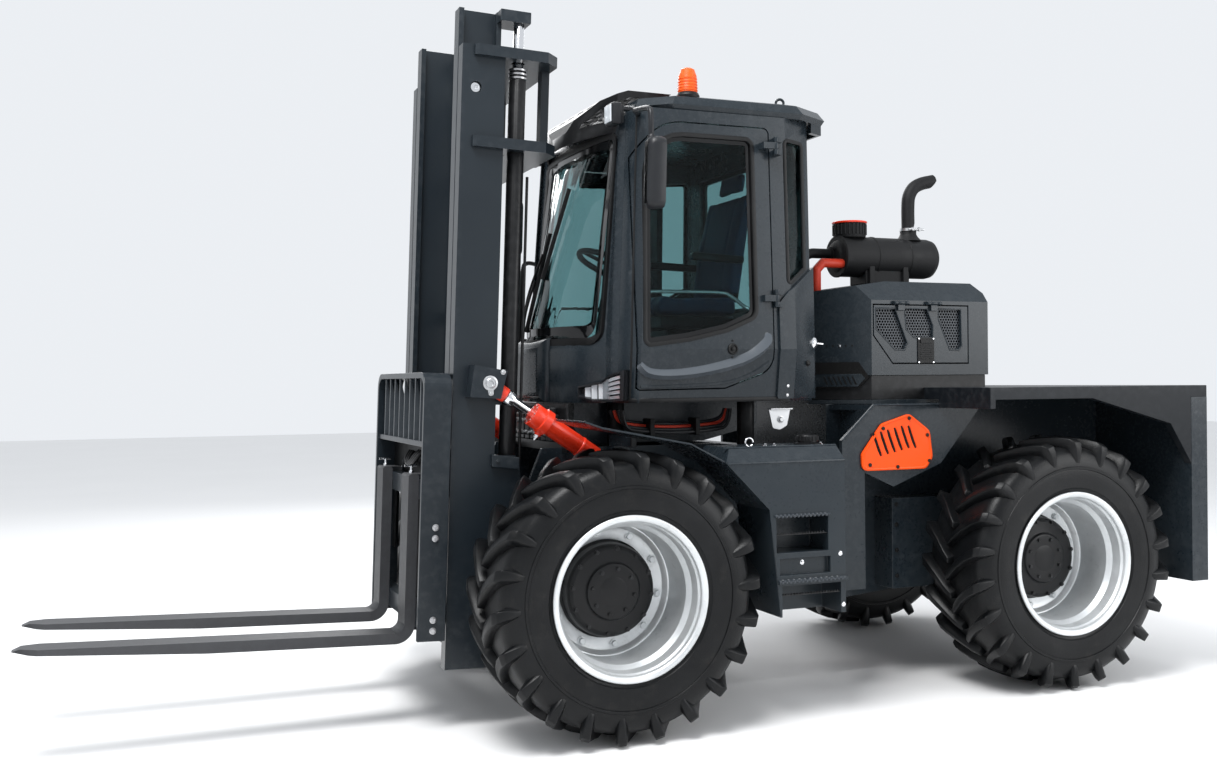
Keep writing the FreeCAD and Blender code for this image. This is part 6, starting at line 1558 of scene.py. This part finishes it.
def beacon():
    """Amber beacon: magnet foot, rubber ring and ribbed lens."""
    low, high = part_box("beacon")
    x, y = (low[0] + high[0]) / 2 - AXLE_X, (low[1] + high[1]) / 2
    z, tall = low[2], high[2] - low[2]
    foot = spool("foot", at(x, y, z), OUT_UP,
                 [(0, 0.050), (0.010, 0.052), (0.014, 0.050), (0.022, 0.046), (0.026, 0.040)], 48)
    finished(foot, GASKET, "front_frame", "lamp_plastic")
    lens = [spool("lens", at(x, y, z + 0.024), OUT_UP,
                  [(0, 0.041), (0.004, 0.0425), (tall * 0.55, 0.0395), (tall - 0.052, 0.036),
                   (tall - 0.034, 0.030), (tall - 0.026, 0.016), (tall - 0.0245, 0.002)], 48)]
    for index in range(5):
        rise = 0.030 + (tall - 0.085) * index / 4
        radius = lines(((0.0, 0.0425), (tall * 0.55, 0.0395), (tall, 0.036)), rise - 0.024)
        lens.append(spool("rib", at(x, y, z + rise), OUT_UP,
                          [(0, radius), (0.002, radius + 0.0016), (0.005, radius + 0.0016), (0.007, radius)], 48))
    finished(joined("beacon_lens", lens), AMBER, "front_frame", "beacon_plastic", "beacon")


VENT_OUTLINE = [(1.290, 1.008, 0.030), (1.286, 1.085, 0.030), (1.395, 1.222, 0.045), (1.548, 1.266, 0.040),
                (1.662, 1.186, 0.045), (1.678, 1.060, 0.040), (1.640, 1.008, 0.035)]
VENT_MIDDLE = (1.48, 1.13)
VENT_FACE = -0.6120


def vent_panels():
    """Bright louvred panels with rounded corners, a rolled edge, and slanted slots that are near-black strips of
    painted shade.
    """
    face = side_plate("panel", rounded(VENT_OUTLINE), VENT_FACE, -0.6005, 0.0025)
    inner = rounded([(x + (VENT_MIDDLE[0] - x) * 0.05, z + (VENT_MIDDLE[1] - z) * 0.05, radius)
                     for x, z, radius in VENT_OUTLINE])
    roll = trim("roll", [at(x, VENT_FACE, z) for x, z in spaced(inner, 0.08)], OUT_LEFT, 0.010, 0.0020, 0.001,
                closed=True, crown=0.6)
    on_both(joined("panel", [face, roll]), "{}_vent_panel", ORANGE_PAINT, "rear_frame", "vent_paint", "vent_panels")
    slots, hoods = [], []
    for index in range(6):
        x = 1.368 + 0.038 * index
        z = 1.126 + 0.008 * min(index, 4)
        start, end = (x - 0.018, -0.6121, z + 0.052), (x + 0.022, -0.6121, z - 0.052)
        path = [at(*between(start, end, step / 4)) for step in range(5)]
        slots.append(trim("slot", path, OUT_LEFT, [0.008, 0.0145, 0.0145, 0.0145, 0.008], 0.0006, 0.0010,
                          crown=0.1))
        rim = [point + Vector((0.0085, -0.0005, 0.002)) for point in path]
        hoods.append(trim("hood", rim, Vector((-0.5, -1, 0)), [0.003, 0.006, 0.006, 0.006, 0.003], 0.0028, 0.002,
                          crown=0.6))
    # The slots are near-black strips: painted shade.
    on_both(joined("slots", slots), "{}_vent_slots", OPENING_PAINTED_SHADE, "rear_frame", "mast_steel")
    on_both(joined("hoods", hoods), "{}_vent_hoods", ORANGE_PAINT, "rear_frame", "vent_paint")


VALVES = [-0.300 + 0.075 * index for index in range(9)]


def valve_bank():
    """Control valves and their pipe unions on a bulkhead behind the mast."""
    plates = [block("bulkhead", (-0.070, -0.060), (-0.420, 0.420), (1.120, 1.332), 0.002)]
    for y in VALVES:
        plates.append(block("section", (-0.112, -0.070), (y - 0.032, y + 0.032), (1.165, 1.285), 0.006))
        plates.append(spool("spring", at(-0.090, y, 1.285), OUT_UP,
                            [(0, 0.018), (0.024, 0.018), (0.030, 0.012)], 20))
    finished(joined("valve_bank", plates), BLACK_PAINT, "front_frame", "mast_steel")
    unions = [spool("union", at(-0.112, y, z), OUT_FRONT,
                    [(0, 0.012), (0.010, 0.012), (0.012, 0.009), (0.018, 0.009), (0.020, 0.006)], 12)
              for y in VALVES for z in (1.198, 1.252)]
    finished(joined("valve_unions", unions), GALVANIZED, "front_frame", "pin_steel")


# ---------------------------------------------------------------- stage, lights and camera
FLOOR_SIZE = 60
SKY_COLOUR = (0.93, 0.96, 1.0, 1.0)
SKY_STRENGTH = 0.90
LAMPS = (  # name, place, where it points, size, power in watts, share in reflections
    ("key", at(-2.2, -2.8, 7.5), at(0.4, 0, 1.0), 3.0, 640, 1.0),
    ("side", at(6.0, -5.5, 3.2), at(1.2, 0, 1.0), 4.0, 220, 1.0),
    ("back", at(1.5, 6.5, 5.5), at(0.8, 0, 1.2), 4.0, 300, 0.25))


def studio():
    """Pale floor, a soft sky and three large lamps."""
    deselect()
    bpy.ops.mesh.primitive_plane_add(size=FLOOR_SIZE, location=(0, 0, 0))
    ground = named("studio_floor")
    ground.data.materials.append(floor_finish())
    world = bpy.data.worlds.new("Studio")
    bpy.context.scene.world = world
    world.use_nodes = True
    sky = world.node_tree.nodes["Background"]
    sky.inputs["Color"].default_value = SKY_COLOUR
    sky.inputs["Strength"].default_value = SKY_STRENGTH
    bpy.context.scene.view_settings.view_transform = "Standard"
    for name, place, aim, size, power, shine in LAMPS:
        bpy.ops.object.light_add(type="AREA", location=place)
        lamp = bpy.context.object
        lamp.name = name
        lamp.data.size = size
        lamp.data.energy = power
        lamp.data.specular_factor = shine
        lamp.rotation_euler = (aim - place).to_track_quat("-Z", "Y").to_euler()


CAMERA_PLACE = (-1.85, -5.341, 1.426)
CAMERA_HEADING = 21.87
CAMERA_PITCH = 0.07
CAMERA_ROLL = -0.48
CAMERA_LENS = 36.13
SENSOR_WIDTH = 36.0


def camera():
    """The view from the front left, at about the height of the hood."""
    bpy.ops.object.camera_add(location=at(*CAMERA_PLACE))
    view = bpy.context.object
    view.name = "view"
    view.data.lens = CAMERA_LENS
    view.data.sensor_width = SENSOR_WIDTH
    heading = Matrix.Rotation(math.radians(-CAMERA_HEADING), 4, "Z")
    pitch = Matrix.Rotation(math.radians(90 + CAMERA_PITCH), 4, "X")
    roll = Matrix.Rotation(math.radians(CAMERA_ROLL), 4, "Z")
    view.rotation_euler = (heading @ pitch @ roll).to_euler()
    bpy.context.scene.camera = view


finish_nodes()
wheels()
for detail in (cab_seals, door_pressings, cab_fittings, screen_fittings, headlamps, work_lamps, mirrors, beacon,
               seat, step_details, filler_cap, mount_bracket, under_cab_pipes, mast_details, load_guard,
               carriage_details, guard_details, tilt_cylinder_details, lid_details, hood_details, silencer,
               silencer_details, vent_panels, rear_details, valve_bank, studio, camera):
    detail()
